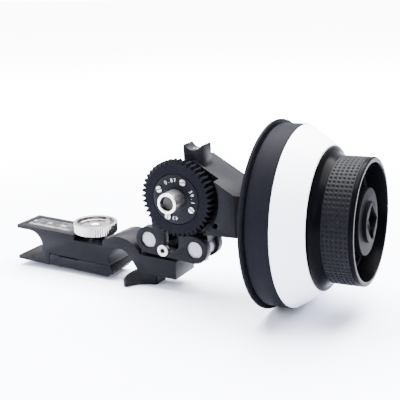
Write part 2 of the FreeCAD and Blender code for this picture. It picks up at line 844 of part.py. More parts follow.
def gearbox_housing():
    """Housing with its posts, the gear's pocket and the room for the train."""
    body = housing_mass(-housing_front, housing_rear).fuse([saddle_posts(), flare()])
    pocket = cylinder_y(gear_axis_x, gear_axis_z, pocket_radius, -housing_front - cut_margin, -pocket_floor)
    lower_hole = cylinder_z(0, 0, saddle_screw_radius, 0, saddle_screw_depth)
    upper_start = 2 * gear_axis_z - top_hole_depth
    upper_hole = cylinder_z(0, 0, top_hole_radius, upper_start, 2 * gear_axis_z)
    body = body.cut([pocket, cavity(), upper_hole, lower_hole])
    body = body.fuse(bush_bosses())
    nose_start = housing_end - 2 * housing_wall
    nose_bore = cylinder_x(0, wheel_axis_z, nose_spigot_radius, nose_start, housing_end + cut_margin)
    gear_bush = cylinder_y(gear_axis_x, gear_axis_z, gear_bush_radius, -housing_front, gear_bush_length)
    counter_bush = cylinder_y(
        counter_x, wheel_axis_z, counter_shaft_radius + running_fit, -cavity_front, gear_bush_length)
    accessory = cylinder_y(
        accessory_hole_x, accessory_hole_z, accessory_hole_radius,
        -housing_front - cut_margin, -housing_front + accessory_hole_depth)
    cuts = [nose_bore, gear_bush, counter_bush, accessory]
    for x, z in cover_screw_places():
        cuts.append(cylinder_y(x, z, cover_screw_radius, cover_screw_tip, housing_rear + cut_margin))
    for y, z in nose_screw_places():
        cuts.append(cylinder_x(y, z, nose_screw_radius, nose_screw_tip, housing_end + cut_margin))
    return body.cut(cuts)


def gearbox_rear_cover():
    """Flat cover over the rear of the housing, with the rear bushes' seats."""
    plate = housing_mass(housing_rear, cover_outer)
    seat_end = housing_rear + rear_bush_length
    head_seat = cover_outer - cover_head_height
    beyond = cover_outer + cut_margin
    cuts = [
        cylinder_y(gear_axis_x, gear_axis_z, gear_bush_radius, housing_rear - cut_margin, seat_end),
        cylinder_y(counter_x, wheel_axis_z, counter_bush_radius, housing_rear - cut_margin, seat_end),
    ]
    for x, z in cover_screw_places():
        cuts.append(cylinder_y(x, z, cover_screw_radius, cover_screw_tip, beyond))
        cuts.append(cylinder_y(x, z, cover_head_radius, head_seat, beyond))
    return plate.cut(cuts)


def rear_cover_screws():
    """Flush screws of the rear cover."""
    screws = []
    for x, z in cover_screw_places():
        shank = cylinder_y(x, z, cover_screw_radius, cover_screw_tip, cover_outer - cover_head_height)
        head = cylinder_y(x, z, cover_head_radius, cover_outer - cover_head_height, cover_outer)
        screws.append(shank.fuse(head))
    return Part.makeCompound(screws)


def ring_y(x, z, outer, inner, y_start, y_end):
    """Plain ring on an axis along Y."""
    return cylinder_y(x, z, outer, y_start, y_end).cut(cylinder_y(x, z, inner, y_start, y_end))


def gear_shaft_bushes():
    """Front and rear bushes of the gear shaft."""
    inner = gear_shaft_radius + running_fit
    spans = [
        (-pocket_floor, gear_bush_length - pocket_floor),
        (housing_rear, housing_rear + rear_bush_length),
    ]
    rings = []
    for start, end in spans:
        rings.append(ring_y(gear_axis_x, gear_axis_z, gear_bush_radius, inner, start, end))
    return Part.makeCompound(rings)


def counter_rear_bush():
    """Rear bush of the counter shaft; the housing's own boss carries the front end."""
    inner = counter_shaft_radius + running_fit
    rear_end = housing_rear + rear_bush_length
    return ring_y(counter_x, wheel_axis_z, counter_bush_radius, inner, housing_rear, rear_end)


def nose_screw_places():
    """Places (y, z) of the nose's screws, in the corners of its plate."""
    inset = nose_screw_inset
    low, high = housing_bottom + inset, housing_end_top - inset
    front, rear = inset - housing_front, housing_rear - inset
    return [(front, low), (front, high), (rear, low), (rear, high)]


def bearing_nose():
    """Plate on the housing's end and the tube that holds the knob shaft's bearings."""
    start = housing_end
    end = housing_end + nose_length
    inner_start = nose_plate_end + bearing_inset
    bore = knob_shaft_radius + bearing_inset
    profile = [
        (start - housing_wall, bore),
        (start - housing_wall, nose_spigot_radius),
        (start, nose_spigot_radius),
        (start, nose_radius),
        (end, nose_radius),
        (end, bearing_radius),
        (end - bearing_width - bearing_inset, bearing_radius),
        (end - bearing_width - bearing_inset, bore),
        (inner_start, bore),
        (inner_start, bearing_radius),
        (inner_start - bearing_width, bearing_radius),
        (inner_start - bearing_width, bore),
    ]
    plate = box((start, nose_plate_end), (-housing_front, housing_rear), (housing_bottom, housing_end_top))
    plate = plate.cut(cylinder_x(0, wheel_axis_z, nose_spigot_radius, start, nose_plate_end))
    cuts = []
    for y, z in nose_screw_places():
        cuts.append(cylinder_x(y, z, nose_screw_radius, start, nose_plate_end))
        cuts.append(cylinder_x(y, z, nose_head_radius, nose_plate_end - nose_head_height, nose_plate_end))
    return plate.fuse(turned(profile, wheel_axis_z)).cut(cuts)


def nose_screws():
    """Flush screws that hold the nose's plate to the housing."""
    screws = []
    head_start = nose_plate_end - nose_head_height
    for y, z in nose_screw_places():
        shank = cylinder_x(y, z, nose_screw_radius, nose_screw_tip, head_start)
        head = cylinder_x(y, z, nose_head_radius, head_start, nose_plate_end)
        screws.append(shank.fuse(head))
    return Part.makeCompound(screws)


def nose_bearing_starts():
    """Where the two nose bearings start along the axis."""
    front = housing_end + nose_length - bearing_width - bearing_inset
    rear = nose_plate_end + bearing_inset - bearing_width
    return rear, front


def nose_bearings():
    """The two plain-drawn ball bearings of the knob shaft."""
    rings = []
    inner = knob_shaft_radius + running_fit
    for start in nose_bearing_starts():
        end = start + bearing_width
        profile = [(start, inner), (start, bearing_radius), (end, bearing_radius), (end, inner)]
        rings.append(turned(profile, wheel_axis_z))
    return Part.makeCompound(rings)


# ---------------------------------------------------------------- gear train

def pinion_start():
    """Small end of the bevel pinion along the wheel's axis."""
    return counter_x + bevel_pitch_radius - bevel_face


def knob_shaft():
    """Shaft of the hand wheel: pinion seat, journal and the flange the drum is screwed to."""
    front = recess_floor - shaft_front_gap
    shoulder = counter_x + bevel_pitch_radius + bevel_hub_length
    profile = [
        (pinion_start(), 0),
        (pinion_start(), pinion_seat_radius),
        (shoulder, pinion_seat_radius),
        (shoulder, knob_shaft_radius),
        (shaft_flange_start, knob_shaft_radius),
        (shaft_flange_start, shaft_flange_radius),
        (shaft_flange_start + shaft_flange_thickness, shaft_flange_radius),
        (shaft_flange_start + shaft_flange_thickness, knob_shaft_radius),
        (front, knob_shaft_radius),
        (front, 0),
    ]
    return turned(profile, wheel_axis_z).cut(drum_screw_holes())


def bevel_pinion():
    """Bevel pinion on the end of the knob shaft."""
    def place_at(distance):
        return lambda u, v: Vector(counter_x + distance, u, wheel_axis_z + v)

    teeth = bevel_body(place_at, 0)
    back = counter_x + bevel_pitch_radius
    hub = cylinder_x(0, wheel_axis_z, bevel_hub_radius, back, back + bevel_hub_length)
    bore = cylinder_x(0, wheel_axis_z, pinion_seat_radius, counter_x, back + bevel_hub_length)
    return teeth.fuse(hub).cut(bore)


def bevel_gear():
    """Bevel gear on the counter shaft, behind the pinion's axis."""
    def place_at(distance):
        return lambda u, v: Vector(counter_x + u, distance, wheel_axis_z + v)

    teeth = bevel_body(place_at, 180 / bevel_teeth)
    hub = cylinder_y(counter_x, wheel_axis_z, bevel_hub_radius, bevel_pitch_radius, train_start)
    bore = cylinder_y(counter_x, wheel_axis_z, counter_shaft_radius, 0, train_start)
    return teeth.fuse(hub).cut(bore)


def counter_shaft():
    """Cross shaft between the bevel pair and the spur pair."""
    rear = housing_rear + rear_bush_length - slide_gap
    return cylinder_y(counter_x, wheel_axis_z, counter_shaft_radius, -cavity_front + slide_gap, rear)


def centre_line_angle():
    """Direction from the counter shaft to the gear shaft."""
    return math.degrees(math.atan2(axis_drop, gear_axis_x - counter_x))


def train_gear(x, z, phase, bore):
    """One of the two spur gears of the train."""
    end = train_start + train_width
    teeth = {"addendum": 0.8, "dedendum": 1.1, "fill": 0.8}
    gear = spur_gear(x, z, train_teeth, train_module, train_start, end, phase, **teeth)
    return gear.cut(cylinder_y(x, z, bore, train_start - cut_margin, end + cut_margin))


def counter_spur():
    """Spur gear on the counter shaft."""
    return train_gear(counter_x, wheel_axis_z, centre_line_angle(), counter_shaft_radius)


def output_spur():
    """Spur gear on the gear shaft, with a gap where the counter gear has a tooth."""
    phase = centre_line_angle() + 180 + 180 / train_teeth
    return train_gear(gear_axis_x, gear_axis_z, phase, gear_shaft_radius)


def gear_shaft():
    """Shaft that carries the drive gear."""
    rear = housing_rear + rear_bush_length - slide_gap
    return cylinder_y(gear_axis_x, gear_axis_z, gear_shaft_radius, tube_seat_front, rear)


# ---------------------------------------------------------------- drive gear

def drive_gear_ring():
    """Toothed ring with the seat of the face disc and a web down to the release tube."""
    rear = gear_width - gear_front
    ring = spur_gear(gear_axis_x, gear_axis_z, gear_teeth, gear_module, -gear_front, rear, 90)
    seat_front = -gear_front - cut_margin
    seat_rear = -gear_front + face_disc_thickness
    seat = cylinder_y(gear_axis_x, gear_axis_z, face_disc_radius + slide_gap, seat_front, seat_rear)
    bore = cylinder_y(gear_axis_x, gear_axis_z, tube_radius, -gear_front, rear + cut_margin)
    cuts = [seat, bore]
    for x, z in face_screw_places():
        cuts.append(cylinder_y(x, z, face_screw_radius, -gear_front, -gear_front + face_screw_length))
    return ring.cut(cuts)


def face_screw_places():
    """Places of the slotted screws in the face disc."""
    count = len(face_screw_slot_angles)
    angles = [face_screw_phase + 360 / count * index for index in range(count)]
    return [polar(face_screw_circle, angle, gear_axis_x, gear_axis_z) for angle in angles]


def gear_face_disc():
    """Disc in the face of the drive gear."""
    front = -gear_front
    rear = front + face_disc_thickness
    disc = cylinder_y(gear_axis_x, gear_axis_z, face_disc_radius, front, rear)
    cuts = [cylinder_y(gear_axis_x, gear_axis_z, tube_radius, front - cut_margin, rear + cut_margin)]
    for x, z in face_screw_places():
        cuts.append(cylinder_y(x, z, face_screw_radius, front - cut_margin, rear + cut_margin))
    return disc.cut(cuts)


def gear_face_screws():
    """Slotted screws that hold the face disc."""
    screws = []
    head_front = -gear_front - face_screw_head_height
    for (x, z), slot_angle in zip(face_screw_places(), face_screw_slot_angles):
        head = cylinder_y(x, z, face_screw_head_radius, head_front, -gear_front)
        shank = cylinder_y(x, z, face_screw_radius, -gear_front, -gear_front + face_screw_length)
        slot = box(
            (x - face_screw_head_radius, x + face_screw_head_radius),
            (head_front - cut_margin, head_front + face_screw_slot_depth),
            (z - face_screw_slot / 2, z + face_screw_slot / 2),
        )
        slot.rotate(Vector(x, 0, z), Vector(0, -1, 0), slot_angle)
        screws.append(head.fuse(shank).cut(slot))
    return Part.makeCompound(screws)


def release_tube():
    """Bright tube through the middle of the drive gear, on the end of the gear shaft."""
    tube = cylinder_y(gear_axis_x, gear_axis_z, tube_radius, tube_front, tube_rear)
    bore = cylinder_y(gear_axis_x, gear_axis_z, tube_bore_radius, tube_front - cut_margin, tube_bore_end)
    seat = cylinder_y(gear_axis_x, gear_axis_z, gear_shaft_radius, tube_seat_front, tube_rear + cut_margin)
    return tube.cut([bore, seat])


def release_plunger():
    """Spring-loaded plunger in the release tube."""
    radius = tube_bore_radius - plunger_clearance
    body = cylinder_y(gear_axis_x, gear_axis_z, radius, plunger_front, plunger_front + plunger_length)
    dimple = Part.makeSphere(2 * radius, Vector(gear_axis_x, plunger_front - 1.8 * radius, gear_axis_z))
    return body.cut(dimple)


def plunger_spring():
    """Coil spring behind the plunger."""
    start = plunger_front + plunger_length + spring_wire_radius
    end = tube_bore_end - spring_wire_radius
    length = end - start
    helix = Part.makeHelix(length / spring_turns, length, spring_coil_radius)
    helix.rotate(Vector(0, 0, 0), Vector(1, 0, 0), -90)
    helix.translate(Vector(gear_axis_x, start, gear_axis_z))
    wire = Part.Wire(helix.Edges)
    first = wire.Edges[0]
    at = first.valueAt(first.FirstParameter)
    along = first.tangentAt(first.FirstParameter)
    section = Part.Wire(Part.makeCircle(spring_wire_radius, at, along))
    return wire.makePipeShell([section], True, True)


# ---------------------------------------------------------------- hand wheel

def wheel_flange():
    """Thin rim at the back of the wheel."""
    profile = [
        (wheel_start, flange_bore_radius),
        (wheel_start, flange_radius),
        (drum_start, flange_radius),
        (drum_start, flange_bore_radius),
    ]
    return turned(profile, wheel_axis_z)


def drum_screw_places():
    """Places (y, z) of the screws that hold the drum to the shaft's flange."""
    step = 360 / drum_screw_count
    return [polar(drum_screw_circle, step * index, 0, wheel_axis_z) for index in range(drum_screw_count)]


def wheel_drum():
    """Cup-shaped drum with a narrow groove next to the flange."""
    bore = knob_shaft_radius
    inner = drum_radius - drum_wall
    profile = [
        (drum_start, bore),
        (drum_start, drum_groove_radius),
        (drum_body_start, drum_groove_radius),
        (drum_body_start, drum_radius),
        (drum_end, drum_radius),
        (drum_end, inner),
        (shaft_flange_start, inner),
        (shaft_flange_start, bore),
    ]
    return turned(profile, wheel_axis_z).cut(drum_screw_holes())


def drum_screw_holes():
    """Holes for the drum screws, through the drum's back wall and the shaft's flange."""
    end = shaft_flange_start + shaft_flange_thickness + cut_margin
    return [cylinder_x(y, z, drum_screw_radius, drum_start, end) for y, z in drum_screw_places()]


def drum_screws():
    """Screws from inside the drum, through the shaft's flange."""
    screws = []
    head_start = shaft_flange_start + shaft_flange_thickness
    for y, z in drum_screw_places():
        shank = cylinder_x(y, z, drum_screw_radius, drum_start, head_start)
        head = cylinder_x(y, z, drum_screw_head_radius, head_start, head_start + drum_screw_head_height)
        screws.append(shank.fuse(head))
    return Part.makeCompound(screws)


def marking_ring():
    """White cone to write marks on, seated in the drum's mouth."""
    spigot = drum_radius - drum_wall
    inner_back = spigot - ring_wall
    profile = [
        (drum_end - ring_spigot, inner_back),
        (drum_end - ring_spigot, spigot),
        (ring_start, spigot),
        (ring_start, ring_large_radius),
        (ring_end, ring_small_radius),
        (ring_end, ring_small_radius - ring_wall),
        (ring_start + ring_wall, inner_back),
    ]
    return turned(profile, wheel_axis_z)


def neck_points(count=6):
    """Concave neck from the marking ring down to the grip, as points of a quarter ellipse."""
    drop = neck_start_radius - grip_radius
    points = []
    for index in range(count + 1):
        angle = math.pi / 2 * index / count
        x = neck_start + neck_width * (1 - math.cos(angle))
        points.append((x, grip_radius + drop * (1 - math.sin(angle))))
    return points


def knob_body():
    """Moulded knob: neck, seat of the grip sleeve, front rim, recess and hub."""
    seat = grip_radius - grip_thickness
    spigot = ring_small_radius - ring_wall
    floor_back = recess_floor - knob_floor
    lip_radius = grip_radius - rim_lip
    edge = rim_width / 4
    profile = [
        (ring_end - ring_wall, spigot - knob_shell),
        (ring_end - ring_wall, spigot),
        (neck_start, spigot),
    ]
    profile += neck_points()
    profile += [
        (grip_start, seat),
        (grip_end, seat),
        (grip_end, grip_radius - edge / 2),
        (knob_front - edge, grip_radius),
        (knob_front, grip_radius - edge),
        (knob_front, lip_radius + edge),
        (knob_front - edge, lip_radius - edge),
        (recess_floor, recess_floor_radius),
        (recess_floor, knob_shaft_radius),
        (floor_back - knob_hub_length, knob_shaft_radius),
        (floor_back - knob_hub_length, knob_hub_radius),
        (floor_back, knob_hub_radius),
        (floor_back, recess_floor_radius - knob_shell),
        (grip_start, recess_floor_radius - knob_shell),
        (neck_start, spigot - knob_shell),
    ]
    return turned(profile, wheel_axis_z)


def grip_sleeve():
    """Knurled sleeve on the knob."""
    inner = grip_radius - grip_thickness
    profile = [(grip_start, inner), (grip_start, grip_radius), (grip_end, grip_radius), (grip_end, inner)]
    return turned(profile, wheel_axis_z)


def hub_disc():
    """Disc in the recess with a raised collar and a square socket for an extension."""
    collar_front = hub_disc_front + hub_collar_height
    profile = [
        (recess_floor, 0),
        (recess_floor, hub_boss_radius),
        (hub_disc_back, hub_boss_radius),
        (hub_disc_back, hub_disc_radius),
        (hub_disc_front, hub_disc_radius),
        (hub_disc_front, hub_collar_radius),
        (collar_front, hub_collar_radius),
        (collar_front, 0),
    ]
    half = square_socket / 2
    socket = box(
        (collar_front - square_socket_depth, collar_front + cut_margin),
        (-half, half),
        (wheel_axis_z - half, wheel_axis_z + half),
    )
    socket.rotate(Vector(0, 0, wheel_axis_z), Vector(1, 0, 0), 45)
    return turned(profile, wheel_axis_z).cut(socket)


# ---------------------------------------------------------------- assembly

def bridge_parts():
    """Pieces drawn in the bridge's frame."""
    return {
        "bridge_body": bridge_body(),
        "lower_jaw": lower_jaw(),
        "jaw_pin": jaw_pin(),
        "thumbscrew_head": thumbscrew_head(),
        "thumbscrew_stud": thumbscrew_stud(),
        "stop_dowel": stop_dowel(),
        "hinge_knuckle": hinge_knuckle(),
        "clamp_lever": clamp_lever(),
        "lever_spindle": lever_spindle(),
        "link_front_cheek": link_front_cheek(),
        "link_rear_cheek": link_cheek(half_gap, half_link),
        "link_clamp_screw": link_clamp_screw(),
        "link_spacer": link_spacer(),
        "hinge_pin_a": hinge_pin(pin_a_x, pin_a_z),
    }


def head_parts():
    """Pieces drawn in the head's frame."""
    return {
        "hinge_pin_b": head_pin(),
        "saddle_screw": saddle_screw(),
        "gearbox_housing": gearbox_housing(),
        "gearbox_rear_cover": gearbox_rear_cover(),
        "rear_cover_screws": rear_cover_screws(),
        "gear_shaft_bushes": gear_shaft_bushes(),
        "counter_rear_bush": counter_rear_bush(),
        "bearing_nose": bearing_nose(),
        "nose_screws": nose_screws(),
        "nose_bearings": nose_bearings(),
        "knob_shaft": knob_shaft(),
        "bevel_pinion": bevel_pinion(),
        "bevel_gear": bevel_gear(),
        "counter_shaft": counter_shaft(),
        "counter_spur": counter_spur(),
        "output_spur": output_spur(),
        "gear_shaft": gear_shaft(),
        "drive_gear_ring": drive_gear_ring(),
        "gear_face_disc": gear_face_disc(),
        "gear_face_screws": gear_face_screws(),
        "release_tube": release_tube(),
        "release_plunger": release_plunger(),
        "plunger_spring": plunger_spring(),
        "wheel_flange": wheel_flange(),
        "wheel_drum": wheel_drum(),
        "drum_screws": drum_screws(),
        "marking_ring": marking_ring(),
        "knob_body": knob_body(),
        "grip_sleeve": grip_sleeve(),
        "hub_disc": hub_disc(),
    }


os.makedirs("parts", exist_ok=True)
pieces = bridge_parts()
for name, shape in head_parts().items():
    pieces[name] = to_head(shape)
for name, shape in pieces.items():
    shape.exportStep("parts/" + name + ".step")
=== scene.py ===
"""Looks of a follow focus unit on a rod bridge: finishes for its solids, and finer pieces in their place.

Lengths of pieces are millimetres and become metres where a mesh is made, and those of finishes are
metres. A place on the tilted head is given along and around the axis of the joint that the piece
turns on.
"""

import json
import logging
import math
from contextlib import contextmanager
from dataclasses import dataclass
from enum import Enum
from itertools import accumulate
from typing import Callable, Iterator, Sequence

import bmesh
import bpy
import numpy as np
from bpy.types import ID, Material, Mesh, NodeSocket, NodeTree, Object
from mathutils import Matrix, Vector


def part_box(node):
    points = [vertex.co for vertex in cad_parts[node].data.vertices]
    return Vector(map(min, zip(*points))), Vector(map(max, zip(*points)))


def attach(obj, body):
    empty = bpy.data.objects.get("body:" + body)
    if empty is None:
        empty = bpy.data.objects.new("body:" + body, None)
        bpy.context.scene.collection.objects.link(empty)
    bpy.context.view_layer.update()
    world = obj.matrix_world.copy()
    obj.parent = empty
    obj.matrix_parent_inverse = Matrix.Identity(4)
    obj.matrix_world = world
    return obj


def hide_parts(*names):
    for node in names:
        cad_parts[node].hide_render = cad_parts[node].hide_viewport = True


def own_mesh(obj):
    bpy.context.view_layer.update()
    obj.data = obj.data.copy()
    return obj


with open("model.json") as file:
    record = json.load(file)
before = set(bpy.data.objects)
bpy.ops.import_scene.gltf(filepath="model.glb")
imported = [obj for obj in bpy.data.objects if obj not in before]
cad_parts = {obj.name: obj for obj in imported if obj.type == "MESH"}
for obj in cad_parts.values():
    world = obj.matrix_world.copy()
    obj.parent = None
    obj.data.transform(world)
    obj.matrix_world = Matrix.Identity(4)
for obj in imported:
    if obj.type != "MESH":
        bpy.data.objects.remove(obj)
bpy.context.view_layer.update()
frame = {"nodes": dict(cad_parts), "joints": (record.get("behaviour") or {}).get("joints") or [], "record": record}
LOG = logging.getLogger("follow_focus")
MM = 0.001
WELD = 1e-7
NO_LENGTH = 1e-8
FLAT_WITHIN = 0.4
ROUNDED_FROM = 32.0
CAPITAL_SHARE = 0.7
Colour = tuple[float, float, float]
Place = tuple[float, float, float]
Profile = Sequence[tuple[float, ...]]
Array = np.ndarray


# ---- shader building

def math_method(operation: str, swapped: bool = False) -> Callable[["Value", "Number"], "Value"]:
    """Makes a method of Value that adds one Math node, with its own value first unless swapped."""

    def method(this: "Value", other: "Number" = 0.0) -> "Value":
        """Returns the output of the Math node."""
        first, second = (other, this) if swapped else (this, other)
        return this.graph.node("ShaderNodeMath", {"operation": operation}, {0: first, 1: second})

    return method


class Value:
    """A number that varies over a surface: wraps a socket, so that sums and products add Math nodes."""

    __add__ = __radd__ = math_method("ADD")
    __sub__ = math_method("SUBTRACT")
    __rsub__ = math_method("SUBTRACT", swapped=True)
    __mul__ = __rmul__ = math_method("MULTIPLY")
    __pow__ = math_method("POWER")
    _sine = math_method("SINE")

    def __init__(self, graph: "Graph", socket: NodeSocket) -> None:
        """Keeps the socket and the graph it belongs to."""
        self.graph = graph
        self.socket = socket

    def _vector_math(self, operation: str, other: "Value | Place", output: str) -> "Value":
        """Returns the wanted output of one Vector Math node."""
        settings = {"operation": operation}
        return self.graph.node("ShaderNodeVectorMath", settings, {0: self, 1: other}, output)

    def wave(self, per_unit: float) -> "Value":
        """Returns the sine of the value times a rate."""
        return (self * per_unit)._sine()

    def share(self, low: float, high: float) -> "Value":
        """Returns a smooth step: 0 up to low, 1 from high on."""
        settings = {"interpolation_type": "SMOOTHSTEP"}
        inputs = {"Value": self, "From Min": low, "From Max": high}
        return self.graph.node("ShaderNodeMapRange", settings, inputs)

    def past(self, edge: float, soft: float) -> "Value":
        """Returns 0 below an edge and 1 beyond it, with a smooth step that reaches soft to both sides."""
        return self.share(edge - soft, edge + soft)

    def along(self, direction: Place) -> "Value":
        """Returns the part of a vector that lies along a direction."""
        return self._vector_math("DOT_PRODUCT", direction, "Value")

    def scaled(self, by: Place) -> "Value":
        """Returns a vector with its parts multiplied."""
        return self._vector_math("MULTIPLY", by, "Vector")

    def spread(self, keep: Place) -> "Value":
        """Returns the length of a vector after its parts are multiplied by keep."""
        return self.scaled(keep)._vector_math("LENGTH", keep, "Value")


Number = Value | float | int


class Graph:
    """A node tree under construction."""

    def __init__(self, tree: NodeTree) -> None:
        """Keeps the tree."""
        self.tree = tree

    def feed(self, socket: NodeSocket, value: Number | tuple) -> None:
        """Links a value to a socket, or sets it."""
        if isinstance(value, Value):
            self.tree.links.new(value.socket, socket)
        else:
            socket.default_value = value

    def node(self, kind: str, settings: dict | None = None, inputs: dict | None = None,
             output: int | str = 0) -> Value:
        """Adds a node, sets its properties, sets or links its inputs, and returns one output."""
        made = self.tree.nodes.new(kind)
        for key, value in (settings or {}).items():
            setattr(made, key, value)
        for key, value in (inputs or {}).items():
            self.feed(made.inputs[key], value)
        return Value(self, made.outputs[output])

    def mix(self, factor: Number, first: Value | Colour, second: Value | Colour) -> Value:
        """Returns a mix of two colours, where factor is the share of the second."""
        ends = [end if isinstance(end, Value) else (*end, 1.0) for end in (first, second)]
        inputs = {0: factor, 6: ends[0], 7: ends[1]}
        return self.node("ShaderNodeMix", {"data_type": "RGBA"}, inputs, output=2)


class Shader(Graph):
    """A material under construction round one Principled node."""

    def __init__(self, name: str) -> None:
        """Makes a named material with one surface shader."""
        self.material = bpy.data.materials.new(name)
        self.material.use_nodes = True
        super().__init__(self.material.node_tree)
        self.surface = self.tree.nodes["Principled BSDF"]

    def place(self) -> Value:
        """Returns the point's own object coordinates, in metres."""
        return self.node("ShaderNodeTexCoord", output="Object")

    def speckle(self, scale: float, detail: float = 2.0, rough: float = 0.5,
                where: Value | None = None) -> Value:
        """Returns noise from 0 to 1, in clouds per metre of the object's own place, or of another."""
        inputs = {"Vector": where or self.place(), "Scale": scale, "Detail": detail, "Roughness": rough}
        return self.node("ShaderNodeTexNoise", {}, inputs)

    def set(self, **sockets: Value | float | Colour) -> None:
        """Links or sets sockets of the surface shader, by name with _ for a space."""
        for name, value in sockets.items():
            socket = self.surface.inputs[name.replace("_", " ")]
            self.feed(socket, (*value, 1.0) if isinstance(value, tuple) else value)

    def bump(self, height: Value, depth: float, strength: float = 0.5) -> None:
        """Raises the surface by a map from 0 to 1, where 1 is depth metres, at a share of its strength."""
        inputs = {"Strength": strength, "Distance": depth, "Height": height}
        self.set(Normal=self.node("ShaderNodeBump", {}, inputs))


# ---- finishes

@dataclass(frozen=True)
class Recipe:
    """A procedural material under its name."""

    name: str

    def build(self) -> Material:
        """Returns the material."""
        shader = Shader(self.name)
        self.dress(shader)
        return shader.material

    def dress(self, shader: Shader) -> None:
        """Sets the surface shader."""
        raise NotImplementedError


@dataclass(frozen=True)
class Grained(Recipe):
    """A skin with a fine grain and faint clouds of two shades.

    It is bead-blasted and anodised aluminium, unless it takes the values of MOULDED.
    """

    colour: Colour = (0.0030, 0.0030, 0.0044)
    shade: Colour = (0.0042, 0.0043, 0.0060)
    roughness: float = 0.42
    shine: float = 0.045
    metal: float = 0.05
    clouds: float = 90.0
    cloud_matt: float = 0.06
    grain: float = 2600.0
    grain_detail: float = 2.0
    grain_rough: float = 0.6
    grain_matt: float = 0.12
    grain_depth: float = 0.00002
    grain_strength: float = 0.6

    def dress(self, shader: Shader) -> None:
        """Sets the surface shader."""
        clouds = shader.speckle(self.clouds, detail=3.0)
        grain = shader.speckle(self.grain, self.grain_detail, self.grain_rough)
        matt = self.roughness + (grain - 0.5) * self.grain_matt + (clouds - 0.5) * self.cloud_matt
        shader.set(Base_Color=shader.mix(clouds, self.colour, self.shade), Metallic=self.metal,
                   Roughness=matt, Specular_IOR_Level=self.shine)
        shader.bump(grain, self.grain_depth, self.grain_strength)


@dataclass(frozen=True)
class BrightMetal(Recipe):
    """Plated or turned metal: fine lathe rings about an axis, a little tarnish, and painted shade in recesses.

    Rings are a sine of the distance from the axis. Points between hollow_inner and hollow_radius from
    it, and further along it than hollow_from, take a painted shade colour, broken by streaks along the axis.
    """

    colour: Colour
    tarnish: Colour
    roughness: float
    ring_pitch: float = 0.00018
    joint: str = "gear_spin"
    node: str = ""
    hollow: Colour = (0.02, 0.02, 0.022)
    hollow_radius: float = 0.0
    hollow_inner: float = -1.0
    hollow_from: float = -1.0
    hollow_edge: float = 0.00004
    streaks: float = 0.0
    stretch: Place = (1.0, 1.0, 0.02)
    ring_depth: float = 0.000004
    ring_waver: float = 0.00005
    ring_matt: float = 0.05
    cloud_matt: float = 0.08

    def axis(self) -> "Axis":
        """Returns the joint's axis, started at the node's box where a node is named."""
        axis = joint_axis(self.joint)
        if not self.node:
            return axis
        low, high = (np.array(corner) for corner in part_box(self.node))
        start = (low + high) / 2 - axis.along * abs((high - low) @ axis.along) / 2
        return Axis(start, axis.along, axis.across)

    def dress(self, shader: Shader) -> None:
        """Sets the surface shader."""
        axis = self.axis()
        turn = Matrix((axis.across, axis.third, axis.along)).transposed().to_euler()
        inputs = {"Vector": shader.place(), "Location": tuple(axis.origin), "Rotation": tuple(turn)}
        local = shader.node("ShaderNodeMapping", {"vector_type": "TEXTURE"}, inputs)
        radius = local.spread((1.0, 1.0, 0.0))
        cloud = shader.speckle(160.0, detail=3.0, rough=0.6)
        wavering = radius + shader.speckle(700.0) * self.ring_waver
        rings = wavering.wave(2 * math.pi / self.ring_pitch) * 0.5 + 0.5
        colour = shader.mix(cloud, self.colour, self.tarnish)
        # Painted shade: points in a recess take a dark colour, broken by streaks where the metal's own colour
        # shows.
        if self.hollow_radius:
            inside = 1.0 - radius.past(self.hollow_radius, self.hollow_edge)
            ring = radius.past(self.hollow_inner, self.hollow_edge)
            deep = local.along((0.0, 0.0, 1.0)).past(self.hollow_from, self.hollow_edge)
            marks = shader.speckle(900.0, 3.0, 0.7, local.scaled(self.stretch)) * self.streaks
            colour = shader.mix(inside * ring * deep * (1.0 - marks), colour, self.hollow)
        shader.set(Base_Color=colour, Metallic=1.0,
                   Roughness=self.roughness + cloud * self.cloud_matt + rings * self.ring_matt)
        shader.bump(rings, self.ring_depth)


@dataclass(frozen=True)
class Ink(Recipe):
    """Paint filled into engraved marks, a little worn."""

    colour: Colour = (0.40, 0.405, 0.42)
    worn: Colour = (0.10, 0.102, 0.11)
    roughness: float = 0.55

    def dress(self, shader: Shader) -> None:
        """Sets the surface shader."""
        wear = shader.speckle(1500.0, detail=3.0, rough=0.7)
        shader.set(Base_Color=shader.mix(wear ** 2, self.colour, self.worn), Roughness=self.roughness)


@dataclass(frozen=True)
class Plate(Recipe):
    """A thin satin metal plate, brushed lengthwise and scuffed by use."""

    dull: Colour = (0.008, 0.0082, 0.01)
    scuffed: Colour = (0.05, 0.051, 0.055)
    roughness: float = 0.5
    shine: float = 0.03
    brush_stretch: Place = (0.06, 1.0, 1.0)
    brush_share: float = 0.35
    scuff_from: float = 0.52
    scuff_full: float = 0.82
    brush_depth: float = 0.000006
    scuff_matt: float = 0.1

    def dress(self, shader: Shader) -> None:
        """Sets the surface shader."""
        scuffs = shader.speckle(420.0, detail=3.0, rough=0.7)
        brushed = shader.speckle(2600.0, rough=0.6, where=shader.place().scaled(self.brush_stretch))
        wear = (scuffs + brushed * self.brush_share).share(self.scuff_from, self.scuff_full)
        shader.set(Base_Color=shader.mix(wear, self.dull, self.scuffed), Metallic=0.0,
                   Roughness=self.roughness + wear * self.scuff_matt, Specular_IOR_Level=self.shine)
        shader.bump(brushed, self.brush_depth)


